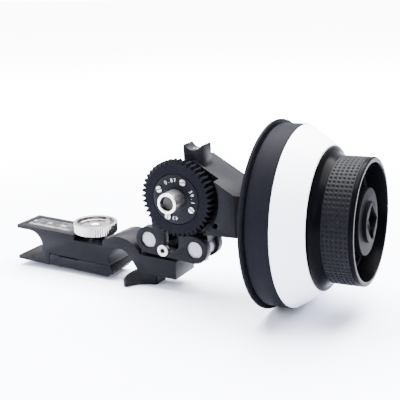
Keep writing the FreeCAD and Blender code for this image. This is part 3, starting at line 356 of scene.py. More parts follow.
@dataclass(frozen=True)
class PaleFloor(Recipe):
    """A pale matt floor that fades into white away from the unit, by light that only the camera sees."""

    colour: Colour = (0.83, 0.86, 0.97)
    shade: Colour = (0.85, 0.88, 0.98)
    roughness: float = 0.8
    shine: float = 0.05
    near: float = 0.12
    far: float = 0.55
    glow: float = 9.0

    def dress(self, shader: Shader) -> None:
        """Sets the surface shader."""
        cloud = shader.speckle(4.0)
        away = shader.place().spread((1.0, 1.0, 0.0)).share(self.near, self.far)
        seen = shader.node("ShaderNodeLightPath", output="Is Camera Ray")
        shader.set(Base_Color=shader.mix(cloud, self.colour, self.shade), Roughness=self.roughness,
                   Specular_IOR_Level=self.shine, Emission_Strength=self.glow,
                   Emission_Color=shader.mix(away * seen, (0.0, 0.0, 0.0), (1.0, 1.0, 1.0)))


NICKEL = (0.36, 0.355, 0.35), (0.26, 0.255, 0.25)
MOULDED = {"metal": 0.0, "clouds": 60.0, "cloud_matt": 0.0, "grain_detail": 3.0, "grain_rough": 0.55,
           "grain_matt": 0.08, "grain_strength": 0.5}


class Finish(Enum):
    """The finishes of the unit and its floor, each with its recipe."""

    BLACK = Grained("black_anodised")
    # A darker copy of the black anodised finish: painted shade for parts that sit in shadow.
    DARK = Grained("black_anodised_shaded", (0.0008, 0.0008, 0.0011), (0.0012, 0.0012, 0.0016), 0.5, 0.02)
    DRUM = Grained("black_anodised_drum", (0.0036, 0.0036, 0.0052), (0.0048, 0.0049, 0.0068), 0.5, 0.011)
    HUB = Grained("black_anodised_hub", (0.0014, 0.0015, 0.0019), (0.0021, 0.0022, 0.0027), 0.5, 0.006)
    LEVER = Grained("black_lever", (0.0034, 0.0035, 0.0047), (0.0048, 0.0049, 0.0064), 0.5, 0.08)
    # The dark recess colours of these finishes are painted shade: in the clamp screw's socket, the face screws'
    # slots, round the inner wall of the thumbscrew's cup and in the tube's bore.
    SCREW = BrightMetal("bright_nickel_screw", *NICKEL, 0.24, node="link_clamp_screw",
                        hollow_radius=0.0026, hollow_from=0.0004)
    FACE_SCREW = BrightMetal("bright_nickel_face_screw", *NICKEL, 0.24, node="gear_face_screws",
                             hollow_radius=0.1, hollow_from=0.0003)
    THUMB = BrightMetal("bright_nickel_thumb", (0.40, 0.39, 0.39), (0.29, 0.28, 0.285), 0.12, 0.0003,
                        joint="thumbscrew_turn", node="thumbscrew_head", hollow=(0.17, 0.145, 0.13),
                        hollow_radius=0.0103, hollow_inner=0.0094, hollow_from=0.0073, streaks=0.9)
    TUBE = BrightMetal("bright_tube", (0.72, 0.71, 0.72), (0.36, 0.35, 0.35), 0.24,
                       hollow=(0.16, 0.15, 0.145), hollow_radius=0.0038, streaks=0.8)
    STEEL = BrightMetal("plain_steel", (0.55, 0.55, 0.56), (0.42, 0.42, 0.43), 0.32, joint="knob_spin")
    # Steel darkened as painted shade, for the plunger deep inside the tube.
    DULL = BrightMetal("dull_steel", (0.060, 0.056, 0.050), (0.030, 0.028, 0.026), 0.5)
    PIN = BrightMetal("light_grey_steel", (0.25, 0.245, 0.265), (0.20, 0.20, 0.215), 0.5,
                      joint="link_swing")
    BRONZE = BrightMetal("bearing_brass", (0.72, 0.55, 0.28), (0.5, 0.36, 0.17), 0.35, joint="knob_spin")
    WHITE = Grained("white_plastic", (0.88, 0.90, 0.97), (0.84, 0.87, 0.95), 0.42, 0.5,
                    grain=900.0, grain_depth=0.00001, **MOULDED)
    GLOSS = Grained("gloss_black_plastic", (0.0008, 0.0008, 0.0012), (0.0012, 0.0012, 0.0018), 0.24, 0.01,
                    grain=400.0, grain_depth=0.000002, **MOULDED)
    GRIP = Grained("grip_rubber", (0.0022, 0.0024, 0.0033), (0.0032, 0.0034, 0.0047), 0.5, 0.04,
                   grain=2400.0, **MOULDED)
    PLATE = Plate("satin_plate")
    INK = Ink("mark_ink")
    STAGE = PaleFloor("studio_floor")


# ---- surfaces

LONGEST_CUT = 0.48


def rounded(profile: Profile, steps: int) -> Array:
    """Returns the points of a closed outline with rounded corners, one row each.

    A corner is (a, b), or (a, b, r) to be replaced by a quadratic curve in so many steps,
    (1-t)^2 P + 2t(1-t) C + t^2 Q. It starts and ends r away from the corner along its two sides, or
    LONGEST_CUT of a side where that is less.
    """
    corners = np.array([point[:2] for point in profile], float)
    radii = np.array([sum(point[2:]) for point in profile], float)
    sides = np.stack([np.roll(corners, 1, axis=0), np.roll(corners, -1, axis=0)]) - corners
    lengths = np.linalg.norm(sides, axis=2)
    cut = np.minimum(radii, LONGEST_CUT * lengths.min(axis=0))
    start, end = corners + sides * (cut / lengths)[..., None]
    t = np.linspace(0.0, 1.0, steps + 1)[None, :, None]
    curve = (1 - t) ** 2 * start[:, None] + 2 * t * (1 - t) * corners[:, None] + t ** 2 * end[:, None]
    return np.vstack([bend if radius else corner for bend, radius, corner in zip(curve, radii, corners)])


@dataclass(frozen=True)
class Axis:
    """A turning axis: distances run along it, angles from a first cross direction to a second."""

    origin: Array
    along: Array
    across: Array

    @property
    def third(self) -> Array:
        """Returns the direction square to the other two."""
        return np.cross(self.along, self.across)

    def points(self, distance: Array, radius: Array, angle: Array) -> Array:
        """Turns millimetres along the axis and from it, and radians about it, into places in metres.

        A place is origin + distance*along + radius*(cos*across + sin*third), in a last dimension of 3.
        """
        reach = np.cos(angle)[..., None] * self.across + np.sin(angle)[..., None] * self.third
        return self.origin + MM * (distance[..., None] * self.along + radius[..., None] * reach)


def linked(name: str, data: ID) -> Object:
    """Makes an object of some data and puts it in the scene."""
    made = bpy.data.objects.new(name, data)
    bpy.context.scene.collection.objects.link(made)
    return made


def node_points(node: str) -> Array:
    """Returns the places of a solid's vertices in metres, one row each."""
    mesh = frame["nodes"][node].data
    places = np.empty(len(mesh.vertices) * 3)
    mesh.vertices.foreach_get("co", places)
    return places.reshape(-1, 3)


@contextmanager
def reworked(mesh: Mesh, weld: float) -> Iterator[bmesh.types.BMesh]:
    """Opens a mesh with its doubled vertices merged, writes it back, and shades it smooth."""
    form = bmesh.new()
    form.from_mesh(mesh)
    bmesh.ops.remove_doubles(form, verts=form.verts, dist=weld)
    yield form
    form.to_mesh(mesh)
    form.free()
    mesh.shade_smooth()


def add_object(name: str, points: Array, faces: Array, smooth: float = 35.0) -> Object:
    """Makes a mesh object of places in metres and rows of four corners.

    It is smooth, but for edges sharper than so many degrees.
    """
    mesh = bpy.data.meshes.new(name)
    mesh.from_pydata(points.tolist(), [], faces.tolist())
    with reworked(mesh, WELD) as form:
        bmesh.ops.dissolve_degenerate(form, edges=form.edges, dist=NO_LENGTH)
        bmesh.ops.recalc_face_normals(form, faces=form.faces)
    mesh.set_sharp_from_angle(angle=math.radians(smooth))
    return linked(name, mesh)


def wrapped(name: str, places: Array, smooth: float = 35.0) -> Object:
    """Makes a mesh object of a grid of places, its last row and column joined to the first."""
    index = np.arange(places.size // 3).reshape(places.shape[:2])
    below = np.roll(index, -1, axis=0)
    corners = [index, below, np.roll(below, -1, axis=1), np.roll(index, -1, axis=1)]
    return add_object(name, places.reshape(-1, 3), np.stack(corners, axis=-1).reshape(-1, 4), smooth)


def turned_piece(name: str, axis: Axis, profile: Profile, segments: int = 160, steps: int = 4,
                 relief: Callable[[Array, Array], Array] | None = None,
                 angles: Array | None = None) -> Object:
    """Turns a closed outline of corners (distance, radius) about an axis, in so many facets.

    The place at outline point p and angle a is axis.points(p.distance, p.radius - relief, a), where
    relief works out millimetres from grids of radius and angle. Angles are given where they aren't
    evenly spaced.
    """
    outline = rounded(profile, steps)
    turn = np.linspace(0, 2 * np.pi, segments, endpoint=False) if angles is None else angles
    distance, angle = np.meshgrid(outline[:, 0], turn, indexing="ij")
    radius = np.repeat(outline[:, 1:2], len(turn), axis=1)
    if relief is not None:
        radius = radius - relief(radius, angle)
    return wrapped(name, axis.points(distance, radius, angle))


def eased_copy(node: str, width: float, segments: int) -> Object:
    """Copies a solid, its sharp edges rounded by a width in millimetres, as a machinist breaks them."""
    mesh = frame["nodes"][node].data.copy()
    mesh.materials.clear()
    with reworked(mesh, 2 * WELD) as form:
        bmesh.ops.dissolve_limit(form, angle_limit=math.radians(FLAT_WITHIN), verts=form.verts,
                                 edges=form.edges, delimit={"NORMAL"})
    made = linked(node + "_eased", mesh)
    bevel = made.modifiers.new("broken_edges", "BEVEL")
    bevel.width = width * MM
    bevel.segments = segments
    bevel.limit_method = "ANGLE"
    bevel.angle_limit = math.radians(ROUNDED_FROM)
    bevel.harden_normals = True
    bevel.use_clamp_overlap = True
    return made


# ---- dressing

class Dresser:
    """Hands out finishes and puts pieces on their bodies."""

    def __init__(self) -> None:
        """Builds the finishes, and reads each node's slot and body from the record."""
        record = frame["record"]
        self.materials = {finish: finish.value.build() for finish in Finish}
        self.slot_of = {part["node"]: part["material_slot"] for part in record["subparts"]}
        bodies = record["behaviour"]["bodies"]
        self.body_of = {node: body for body, nodes in bodies.items() for node in nodes}
        self.dressed: set[str] = set()

    def paint(self, thing: Object, finish: Finish) -> None:
        """Gives an object one finish all over."""
        thing.data.materials.clear()
        thing.data.materials.append(self.materials[finish])

    def solids(self, finish: Finish, *nodes: str) -> None:
        """Gives solids of the frame a finish."""
        for node in nodes:
            self.paint(frame["nodes"][node], finish)
            self.dressed.add(node)

    def piece(self, thing: Object, finish: Finish, on: str, slot: str) -> None:
        """Finishes a new piece and puts it on the body of a node."""
        self.paint(thing, finish)
        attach(thing, self.body_of[on])
        LOG.info("%s rides on %s, %d faces", thing.name, self.body_of[on], len(thing.data.polygons))

    def stand_in(self, thing: Object, finish: Finish, node: str) -> None:
        """Finishes a new piece that takes a node's place, with the node's body, and hides the node."""
        self.piece(thing, finish, node, self.slot_of[node])
        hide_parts(node)
        self.dressed.add(node)

    def eased(self, finish: Finish, width: float, *nodes: str, segments: int = 2) -> None:
        """Replaces solids by copies with edges broken over a width in millimetres."""
        for node in nodes:
            self.stand_in(eased_copy(node, width, segments), finish, node)


@dataclass
class Assembly:
    """A group of pieces that are built and dressed together."""

    dresser: Dresser

    def build(self) -> None:
        """Builds and dresses the pieces."""
        raise NotImplementedError


def joint_axis(name: str) -> Axis:
    """Reads a joint's axis, with angles counted from +Y, or from +X where the axis runs along Y."""
    joint = next(j for j in frame["joints"] if j["name"] == name)
    along = np.array(joint["axis"], float)
    along /= np.linalg.norm(along)
    across = (1.0, 0.0, 0.0) if abs(along[1]) > 0.5 else (0.0, 1.0, 0.0)
    return Axis(np.array(joint["pos_m"], float), along, np.array(across))


def text_mesh(name: str, words: str, height: float, stand: float, origin: Vector, right: Vector,
              up: Vector) -> Object:
    """Makes raised characters as a mesh, centred on a place in metres, with their X right and Y up.

    Height is that of a capital, and stand how far they stand proud, in millimetres.
    """
    curve = bpy.data.curves.new(name, "FONT")
    curve.body = words
    curve.align_x = curve.align_y = "CENTER"
    curve.size = height * MM / CAPITAL_SHARE
    curve.extrude = stand * MM
    curve.resolution_u = 4
    source = linked(name, curve)
    bpy.context.view_layer.update()
    mesh = bpy.data.meshes.new_from_object(source)
    bpy.data.objects.remove(source)
    turn = Matrix((right, up, right.cross(up))).transposed().to_4x4()
    mesh.transform(Matrix.Translation(origin) @ turn)
    return linked(name, mesh)


def bars(start: Sequence[Place], size: Sequence[Place]) -> tuple[Array, Array]:
    """Makes upright boxes, as points in metres and faces.

    Start is the middle of the near edge of each foot, and size its length along X, depth along +Y and
    height, in millimetres.
    """
    corners = np.array([(-0.5, 0, 0), (0.5, 0, 0), (0.5, 1, 0), (-0.5, 1, 0),
                        (-0.5, 0, 1), (0.5, 0, 1), (0.5, 1, 1), (-0.5, 1, 1)], float)
    points = (np.array(start)[:, None] + corners * np.array(size)[:, None]).reshape(-1, 3) * MM
    quads = np.array([(0, 3, 2, 1), (4, 5, 6, 7), (0, 1, 5, 4), (1, 2, 6, 5), (2, 3, 7, 6), (3, 0, 4, 7)])
    return points, (quads[None] + 8 * np.arange(len(start))[:, None, None]).reshape(-1, 4)


# ---- bridge

@dataclass
class Bridge(Assembly):
    """The beam, its jaw, the thumbscrew, the lever and the plain scale on the beam's top."""

    thumb_radius: float = 12.0
    thumb_height: float = 5.5
    thumb_lift: float = 0.9
    collar_radius: float = 5.0
    seat_depth: float = 3.0
    cup_radius: float = 10.0
    cup_depth: float = 2.2
    well_radius: float = 3.2
    well_foot_radius: float = 2.6
    well_depth: float = 0.5
    flutes: int = 56
    flute_depth: float = 0.5
    flute_power: float = 0.9
    flute_facets: int = 10
    flute_margin: float = 0.6
    flute_fade: float = 0.5
    beam_top: float = 10.3
    panel_depth: float = 0.2
    plate: Place = (-49.9, 30.0, 12.2)
    plate_height: float = 0.08
    scale_start: float = -64.5
    scale_foot: float = -4.6
    scale_length: float = 26.0
    scale_step: float = 1.0
    tick_width: float = 0.16
    tick_reach: Place = (3.0, 2.3, 1.5)
    mark_height: float = 0.03
    number_height: float = 2.2
    number_rise: float = 5.2

    def thumbscrew(self) -> None:
        """Builds the fluted, cupped head.

        Its radius dips by depth*(0.5 - 0.5 cos(n a))^power between the flutes, only on the outer wall.
        """
        axis = joint_axis("thumbscrew_turn")
        axis = Axis(np.array((*axis.origin[:2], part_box("thumbscrew_head")[0].z)), axis.along, axis.across)
        bottom = self.seat_depth + self.thumb_lift
        top = bottom + self.thumb_height
        floor = top - self.cup_depth
        well = floor - self.well_depth
        profile = [
            (0.0, 0.0), (0.0, self.collar_radius, 0.2), (bottom, self.collar_radius, 0.2),
            (bottom, self.thumb_radius, 0.5), (top, self.thumb_radius, 0.5),
            (top, self.cup_radius, 0.35), (floor, self.cup_radius, 0.6), (floor, self.well_radius, 0.3),
            (well, self.well_foot_radius, 0.3), (well, 0.0),
        ]

        def relief(radius: Array, angle: Array) -> Array:
            """Returns the depth of the flutes, full on the wall and fading over the rounded rims."""
            wall = np.clip((radius - self.thumb_radius + self.flute_margin) / self.flute_fade, 0.0, 1.0)
            dip = (0.5 - 0.5 * np.cos(self.flutes * angle)) ** self.flute_power
            return self.flute_depth * wall * dip

        segments = self.flutes * self.flute_facets
        head = turned_piece("thumbscrew_fluted", axis, profile, segments, 4, relief)
        self.dresser.stand_in(head, Finish.THUMB, "thumbscrew_head")

    def scale(self) -> None:
        """Builds a plate in the beam's shallow panel, with a plain ruler scale of thin raised bars."""
        low = self.beam_top - self.panel_depth
        middle, length, width = self.plate
        plate = bars([(middle, -width / 2, low)], [(length, width, self.plate_height)])
        self.dresser.piece(add_object("scale_plate", *plate), Finish.PLATE, "bridge_body", "bright_nickel")
        top = low + self.plate_height
        count = int(round(self.scale_length / self.scale_step)) + 1
        index = np.arange(count)
        full, half, short = self.tick_reach
        reach = np.where(index % 10 == 0, full, np.where(index % 5 == 0, half, short))
        x = self.scale_start + index * self.scale_step
        start = [(at, self.scale_foot, top) for at in x]
        start.append((self.scale_start + self.scale_length / 2, self.scale_foot, top))
        size = [(self.tick_width, tall, self.mark_height) for tall in reach]
        size.append((self.scale_length + self.tick_width, self.tick_width, self.mark_height))
        ticks = add_object("scale_ticks", *bars(start, size))
        self.dresser.piece(ticks, Finish.INK, "bridge_body", "white_plastic")
        for number in range(0, count, 10):
            place = Vector((x[number], self.scale_foot + self.number_rise, 0)) * MM
            place.z = top * MM
            mark = text_mesh(f"scale_number_{number}", str(number), self.number_height, self.mark_height,
                             place, Vector((1, 0, 0)), Vector((0, 1, 0)))
            self.dresser.piece(mark, Finish.INK, "bridge_body", "white_plastic")

    def build(self) -> None:
        """Builds and dresses the bridge."""
        self.dresser.eased(Finish.BLACK, 0.25, "bridge_body")
        self.dresser.eased(Finish.BLACK, 0.2, "lower_jaw")
        self.dresser.eased(Finish.LEVER, 0.5, "clamp_lever", segments=3)
        self.dresser.eased(Finish.BLACK, 0.2, "hinge_knuckle")
        self.dresser.solids(Finish.STEEL, "thumbscrew_stud", "jaw_pin", "lever_spindle")
        self.dresser.solids(Finish.LEVER, "stop_dowel")
        self.thumbscrew()
        self.scale()


# ---- link

@dataclass
class Link(Assembly):
    """The two cheeks, their clamp screw and the hinge pins."""

    def build(self) -> None:
        """Builds and dresses the link."""
        self.dresser.eased(Finish.BLACK, 0.3, "link_front_cheek", "link_rear_cheek", segments=3)
        self.dresser.eased(Finish.SCREW, 0.2, "link_clamp_screw", segments=3)
        self.dresser.eased(Finish.PIN, 0.3, "hinge_pin_a", "hinge_pin_b")
        # The spacer takes the shaded black: painted shade between the cheeks.
        self.dresser.solids(Finish.DARK, "link_spacer")


# ---- gearbox

@dataclass
class Gearbox(Assembly):
    """The housing, its cover and nose, and the train inside."""

    mouth_reach: float = 0.4
    mouth_rise: float = 0.2
    mouth_wall: float = 0.6

    def hole_mouth(self) -> None:
        """Lines the mouth of the top saddle's threaded hole with its bright rim."""
        mount = next(m for m in frame["record"]["mounts"] if m["name"] == "top_saddle_hole")
        axis = Axis(*(np.array(way, float) for way in (mount["pos_m"], mount["axis"], (0, 1, 0))))
        top = mount["dims"]["length_mm"] / 2 + self.mouth_rise
        bore = mount["dims"]["r_mm"]
        bottom, edge = top - self.mouth_reach, bore + self.mouth_wall
        profile = [(bottom, bore), (top, bore, 0.05), (top, edge, 0.1), (bottom, edge)]
        rim = turned_piece("saddle_hole_rim", axis, profile, 64, 3)
        self.dresser.piece(rim, Finish.PIN, "gearbox_housing", "bright_nickel")

    def build(self) -> None:
        """Builds and dresses the gearbox."""
        self.dresser.eased(Finish.BLACK, 0.3, "gearbox_housing", "gearbox_rear_cover")
        # The nose takes the shaded black: painted shade where the hand wheel shadows it.
        self.dresser.eased(Finish.DARK, 0.25, "bearing_nose")
        self.dresser.eased(Finish.STEEL, 0.15, "nose_screws")
        self.dresser.solids(Finish.STEEL, "saddle_screw", "rear_cover_screws", "nose_bearings",
                            "knob_shaft", "bevel_pinion", "bevel_gear", "counter_shaft",
                            "counter_spur", "output_spur", "gear_shaft", "drum_screws")
        self.dresser.solids(Finish.BRONZE, "gear_shaft_bushes", "counter_rear_bush")
        self.hole_mouth()


# ---- drive gear

@dataclass
class DriveGear(Assembly):
    """The toothed ring, its face disc with plain numbers, the screws, the tube and the plunger."""

    teeth: int = 43
    module: float = 0.87
    flank: float = 20.0
    fullness: float = 0.92
    tip_height: float = 1.0
    bend_height: float = 0.4
    root_height: float = -1.25
    width: float = 6.0
    seat_radius: float = 12.7
    seat_depth: float = 3.1
    seat_chamfer: float = 0.3
    seat_chamfer_depth: float = 0.5
    root_land: float = 2.8
    chamfer: float = 0.35
    tube_radius: float = 5.2
    tube_bore: float = 3.6
    rear_bore: float = 3.5
    bore_depth: float = 14.0
    plunger_play: float = 0.08
    plunger_lip: float = 0.4
    plunger_edge: float = 0.2
    dish_share: float = 0.6
    dish_depth: float = 0.5
    dish_centre: float = 0.9
    spring_press: float = 2.55
    number_circle: float = 9.6
    number_height: float = 1.9
    number_stand: float = 0.03
    number_step: float = 11.0
    numbers: tuple[tuple[float, str], ...] = ((109.0, "0.87"), (14.0, "39.1"), (258.0, "43-6"))

    @staticmethod
    def axis() -> Axis:
        """Returns the gear's axis, along +Y, with angles counted from +X."""
        return joint_axis("gear_spin")

    def span(self, node: str) -> tuple[float, float]:
        """Returns where a node starts and ends along +Y from the joint's place, in millimetres."""
        low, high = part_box(node)
        zero = float(self.axis().origin[1])
        return (low.y - zero) / MM, (high.y - zero) / MM

    def tooth_angles(self) -> tuple[Array, Array]:
        """Works out the angles where the tooth outline turns, and its depth below the tips at each.

        A tooth is a trapezoid about the pitch circle: its half width at height h is
        pi*m/4*fullness - h*tan(flank). The heights are in modules.
        """
        pitch = self.module * self.teeth / 2
        rise = [self.root_height, -self.bend_height, self.bend_height, self.tip_height]
        heights = np.array(rise + rise[::-1])
        sides = np.repeat([-1, 1], len(rise))
        slope = math.tan(math.radians(self.flank))
        half = math.pi * self.module / 4 * self.fullness - heights * self.module * slope
        offset = sides * half / (pitch + heights * self.module)
        centres = np.pi / 2 + 2 * np.pi * np.arange(self.teeth) / self.teeth
        angles = (centres[:, None] + offset[None, :]).ravel()
        return -angles, np.tile((self.tip_height - heights) * self.module, self.teeth)

    def ring(self) -> None:
        """Builds the toothed ring: the outer wall's radius drops by the tooth outline's depth."""
        tip = self.module * (self.teeth + 2) / 2
        front = self.span("gear_face_disc")[0]
        rear = front + self.width
        seat = front + self.seat_depth
        angles, depth = self.tooth_angles()
        edge = self.chamfer
        root = tip - self.root_land
        profile = [
            (front, self.seat_radius + self.seat_chamfer), (front, root), (front, tip - edge),
            (front + edge, tip), (rear - edge, tip), (rear, tip - edge), (rear, root),
            (rear, self.tube_radius), (seat, self.tube_radius), (seat, self.seat_radius),
            (front + self.seat_chamfer_depth, self.seat_radius),
        ]

        def relief(radius: Array, angle: Array) -> Array:
            """Returns the depth below the tips, only where the outline is out at the teeth."""
            return np.where(radius > (root + tip - edge) / 2, depth[None, :], 0.0)

        ring = turned_piece("drive_gear_toothed", self.axis(), profile, relief=relief, angles=angles)
        self.dresser.stand_in(ring, Finish.DRUM, "drive_gear_ring")

    def tube(self) -> None:
        """Builds the bright tube with its rounded mouth, and the dished plunger in it."""
        start, end = self.span("release_tube")
        back = start + self.bore_depth
        profile = [
            (start, self.tube_bore, 0.5), (start, self.tube_radius, 0.6), (end, self.tube_radius, 0.2),
            (end, self.rear_bore), (back, self.rear_bore), (back, self.tube_bore),
        ]
        tube = turned_piece("release_tube_turned", self.axis(), profile, 96, 5)
        self.dresser.stand_in(tube, Finish.TUBE, "release_tube")
        start, end = self.span("release_plunger")
        radius = self.tube_bore - self.plunger_play
        profile = [
            (start + self.dish_centre, 0.0), (start + self.dish_depth, radius * self.dish_share, 0.4),
            (start, radius - self.plunger_lip, 0.3), (start + self.plunger_edge, radius, 0.2),
            (end, radius, 0.2), (end, 0.0),
        ]
        plunger = turned_piece("release_plunger_dished", self.axis(), profile, 72, 5)
        # The plunger takes the darkened steel: painted shade inside the tube.
        self.dresser.stand_in(plunger, Finish.DULL, "release_plunger")

    def spring(self) -> None:
        """Dresses the spring and gives it a mesh of its own."""
        self.dresser.solids(Finish.STEEL, "plunger_spring")
        x, _, z = map(float, self.axis().origin)
        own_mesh(frame["nodes"]["plunger_spring"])

    def marks(self) -> None:
        """Puts plain numbers round the face disc, their tops outwards."""
        centre = Vector(self.axis().origin)
        centre.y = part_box("gear_face_disc")[0].y
        for degrees, words in self.numbers:
            for index, character in enumerate(words):
                angle = math.radians(degrees + self.number_step * ((len(words) - 1) / 2 - index))
                up = Vector((math.cos(angle), 0.0, math.sin(angle)))
                place = centre + up * self.number_circle * MM
                mark = text_mesh(f"gear_number_{int(degrees)}_{index}", character, self.number_height,
                                 self.number_stand, place, up.cross(Vector((0.0, -1.0, 0.0))), up)
                self.dresser.piece(mark, Finish.INK, "gear_face_disc", "white_plastic")

    def build(self) -> None:
        """Builds and dresses the drive gear."""
        self.ring()
        self.dresser.eased(Finish.BLACK, 0.15, "gear_face_disc")
        self.dresser.eased(Finish.FACE_SCREW, 0.06, "gear_face_screws")
        self.tube()
        self.spring()
        self.marks()


# ---- hand wheel

@dataclass
class HandWheel(Assembly):
    """The flange, drum, white cone, knob, knurled grip and hub, all turned on the wheel's axis."""

    flange_start: float = 41.8
    flange_width: float = 1.6
    flange_radius: float = 45.8
    flange_bore: float = 14.0
    groove_width: float = 0.9
    groove_radius: float = 42.5
    drum_radius: float = 43.9
    drum_width: float = 11.1
    drum_wall: float = 2.9
    drum_back: float = 3.6
    ring_gap: float = 0.2
    ring_width: float = 13.1
    ring_large: float = 43.7
    ring_small: float = 34.7
    ring_wall: float = 2.2
    ring_spigot: float = 2.0
    neck_width: float = 5.0
    neck_radius: float = 34.1
    neck_points: int = 13
    grip_radius: float = 29.9
    grip_width: float = 12.4
    grip_thickness: float = 2.0
    rim_width: float = 2.1
    rim_lip: float = 2.5
    recess_depth: float = 9.9
    recess_floor_radius: float = 25.9
    knob_shell: float = 1.6
    knob_floor: float = 2.5
    hub_radius: float = 8.0
    hub_length: float = 6.0
    shaft_radius: float = 4.0
    knurl_columns: int = 6
    knurl_rows: int = 84
    knurl_steps: int = 8
    knurl_depth: float = 0.5
    knurl_land: float = 0.34
    knurl_floor: float = 0.8
    knurl_sink: float = 0.05
    knurl_margin: float = 0.12

    def __post_init__(self) -> None:
        """Works out the stations along the axis."""
        widths = (self.flange_start, self.flange_width, self.groove_width, self.drum_width, self.ring_gap,
                  self.ring_width, self.ring_gap, self.neck_width, self.grip_width, self.rim_width)
        (_, self.drum_start, self.drum_body, self.drum_end, self.ring_start, self.ring_end,
         self.neck_start, self.grip_start, self.grip_end, self.front) = accumulate(widths)
        self.recess_floor = self.front - self.recess_depth

    def axis(self) -> Axis:
        """Returns the wheel's axis, with distances such that the flange starts where its solid does."""
        base = joint_axis("knob_spin")
        along = (node_points("wheel_flange") - base.origin) @ base.along
        origin = base.origin + base.along * (along.min() - self.flange_start * MM)
        return Axis(origin, base.along, base.across)

    def turn(self, node: str, name: str, finish: Finish, profile: Profile, segments: int = 220,
             steps: int = 4) -> None:
        """Turns an outline about the wheel's axis, in the place of a node."""
        self.dresser.stand_in(turned_piece(name, self.axis(), profile, segments, steps), finish, node)

    def flange(self) -> None:
        """Builds the thin rim at the back."""
        a, b = self.flange_start, self.drum_start
        profile = [
            (a, self.flange_bore, 0.3), (a, self.flange_radius, 0.55), (b, self.flange_radius, 0.55),
            (b, self.flange_bore, 0.1),
        ]
        self.turn("wheel_flange", "wheel_flange_turned", Finish.DRUM, profile)

    def drum(self) -> None:
        """Builds the drum with its narrow groove next to the flange."""
        inner = self.drum_radius - self.drum_wall
        back = self.drum_start + self.drum_back
        profile = [
            (self.drum_start, self.shaft_radius), (self.drum_start, self.groove_radius),
            (self.drum_body, self.groove_radius, 0.2), (self.drum_body, self.drum_radius, 0.45),
            (self.drum_end, self.drum_radius, 0.35), (self.drum_end, inner, 0.1), (back, inner, 0.5),
            (back, self.shaft_radius),
        ]
        self.turn("wheel_drum", "wheel_drum_turned", Finish.DRUM, profile)

    def cone(self) -> None:
        """Builds the white marking cone."""
        spigot = self.drum_radius - self.drum_wall
        back = spigot - self.ring_wall
        profile = [
            (self.drum_end - self.ring_spigot, back, 0.1), (self.drum_end - self.ring_spigot, spigot, 0.1),
            (self.ring_start, spigot), (self.ring_start, self.ring_large, 0.3),
            (self.ring_end, self.ring_small, 0.3), (self.ring_end, self.ring_small - self.ring_wall, 0.1),
            (self.ring_start + self.ring_wall, back, 0.1),
        ]
        self.turn("marking_ring", "marking_ring_turned", Finish.WHITE, profile, steps=3)

    def neck(self) -> Profile:
        """Works out the concave neck: a quarter ellipse from the cone's small end to the grip."""
        angle = np.linspace(0, np.pi / 2, self.neck_points)
        x = self.neck_start + self.neck_width * (1 - np.cos(angle))
        r = self.grip_radius + (self.neck_radius - self.grip_radius) * (1 - np.sin(angle))
        return list(zip(x, r))

    def knob(self) -> None:
        """Builds the glossy knob: neck, seat of the grip, rounded rim, recess and hub."""
        seat = self.grip_radius - self.grip_thickness
        spigot = self.ring_small - self.ring_wall
        inner = spigot - self.knob_shell
        back = self.recess_floor - self.knob_floor
        hub = back - self.hub_length
        shell = self.recess_floor_radius - self.knob_shell
        rear = self.ring_end - self.ring_wall
        profile = [
            (rear, inner, 0.1), (rear, spigot, 0.1), (self.neck_start, spigot), *self.neck(),
            (self.grip_start, seat), (self.grip_end, seat),
            (self.grip_end, self.grip_radius, 0.35), (self.front, self.grip_radius, 1.0),
            (self.front, self.grip_radius - self.rim_lip, 0.6),
            (self.recess_floor, self.recess_floor_radius, 1.2), (self.recess_floor, self.shaft_radius),
            (hub, self.shaft_radius), (hub, self.hub_radius, 0.2), (back, self.hub_radius, 0.2),
            (back, shell, 0.3), (self.grip_start, shell, 0.3), (self.neck_start, inner, 0.3),
        ]
        self.turn("knob_body", "knob_turned", Finish.GLOSS, profile, 200, 6)

    def grip(self) -> None:
        """Builds the knurled sleeve.

        Over each cell of the knurl the depth is depth * pit(u) * pit(v), where pit is 0 on the land
        round the cell and rises with a smooth step to 1 at its middle.
        """
        edge = self.knurl_margin
        columns = self.knurl_columns * self.knurl_steps
        inside = np.linspace(self.grip_start + edge, self.grip_end - edge, columns + 1)
        angle = np.linspace(0, 2 * np.pi, self.knurl_rows * self.knurl_steps, endpoint=False)

        def pit(phase: Array) -> Array:
            """Returns the smooth well across one cell."""
            middle = 1 - np.abs(2 * (phase % 1.0) - 1)
            t = np.clip((middle - self.knurl_land) / (self.knurl_floor - self.knurl_land), 0.0, 1.0)
            return t * t * (3 - 2 * t)

        wide = (inside - self.grip_start - edge) / (self.grip_width - 2 * edge) * self.knurl_columns
        wells = self.knurl_depth * pit(wide)[:, None] * pit(angle / (2 * np.pi) * self.knurl_rows)[None, :]
        radius = np.pad(self.grip_radius - self.knurl_sink - wells, ((2, 2), (0, 0)))
        radius[[0, -1]] = self.grip_radius - self.grip_thickness
        radius[[1, -2]] = self.grip_radius - edge - self.knurl_sink
        rows = np.concatenate([[self.grip_start] * 2, inside, [self.grip_end] * 2])
        distance, turn = np.meshgrid(rows, angle, indexing="ij")
        piece = wrapped("grip_sleeve_knurled", self.axis().points(distance, radius, turn), 60.0)
        self.dresser.stand_in(piece, Finish.GRIP, "grip_sleeve")

    def build(self) -> None:
        """Builds and dresses the hand wheel."""
        self.flange()
        self.drum()
        self.cone()
        self.knob()
        self.grip()
        self.dresser.eased(Finish.HUB, 0.3, "hub_disc", segments=3)


# ---- studio

@dataclass(frozen=True)
class SoftBox:
    """A square soft light: its place and side in metres, its power in watts, and its tint."""

    name: str
    place: Place
    side: float
    power: float
    tint: Colour

    def hang(self, target: Vector) -> None:
        """Hangs the light in its place, turned to a target."""
        lamp = bpy.data.lights.new(self.name, "AREA")
        lamp.size = self.side
        lamp.energy = self.power
        lamp.color = self.tint
        place = Vector(self.place)
        turn = (place - target).to_track_quat("Z", "Y").to_matrix().to_4x4()
        linked(self.name, lamp).matrix_world = Matrix.Translation(place) @ turn


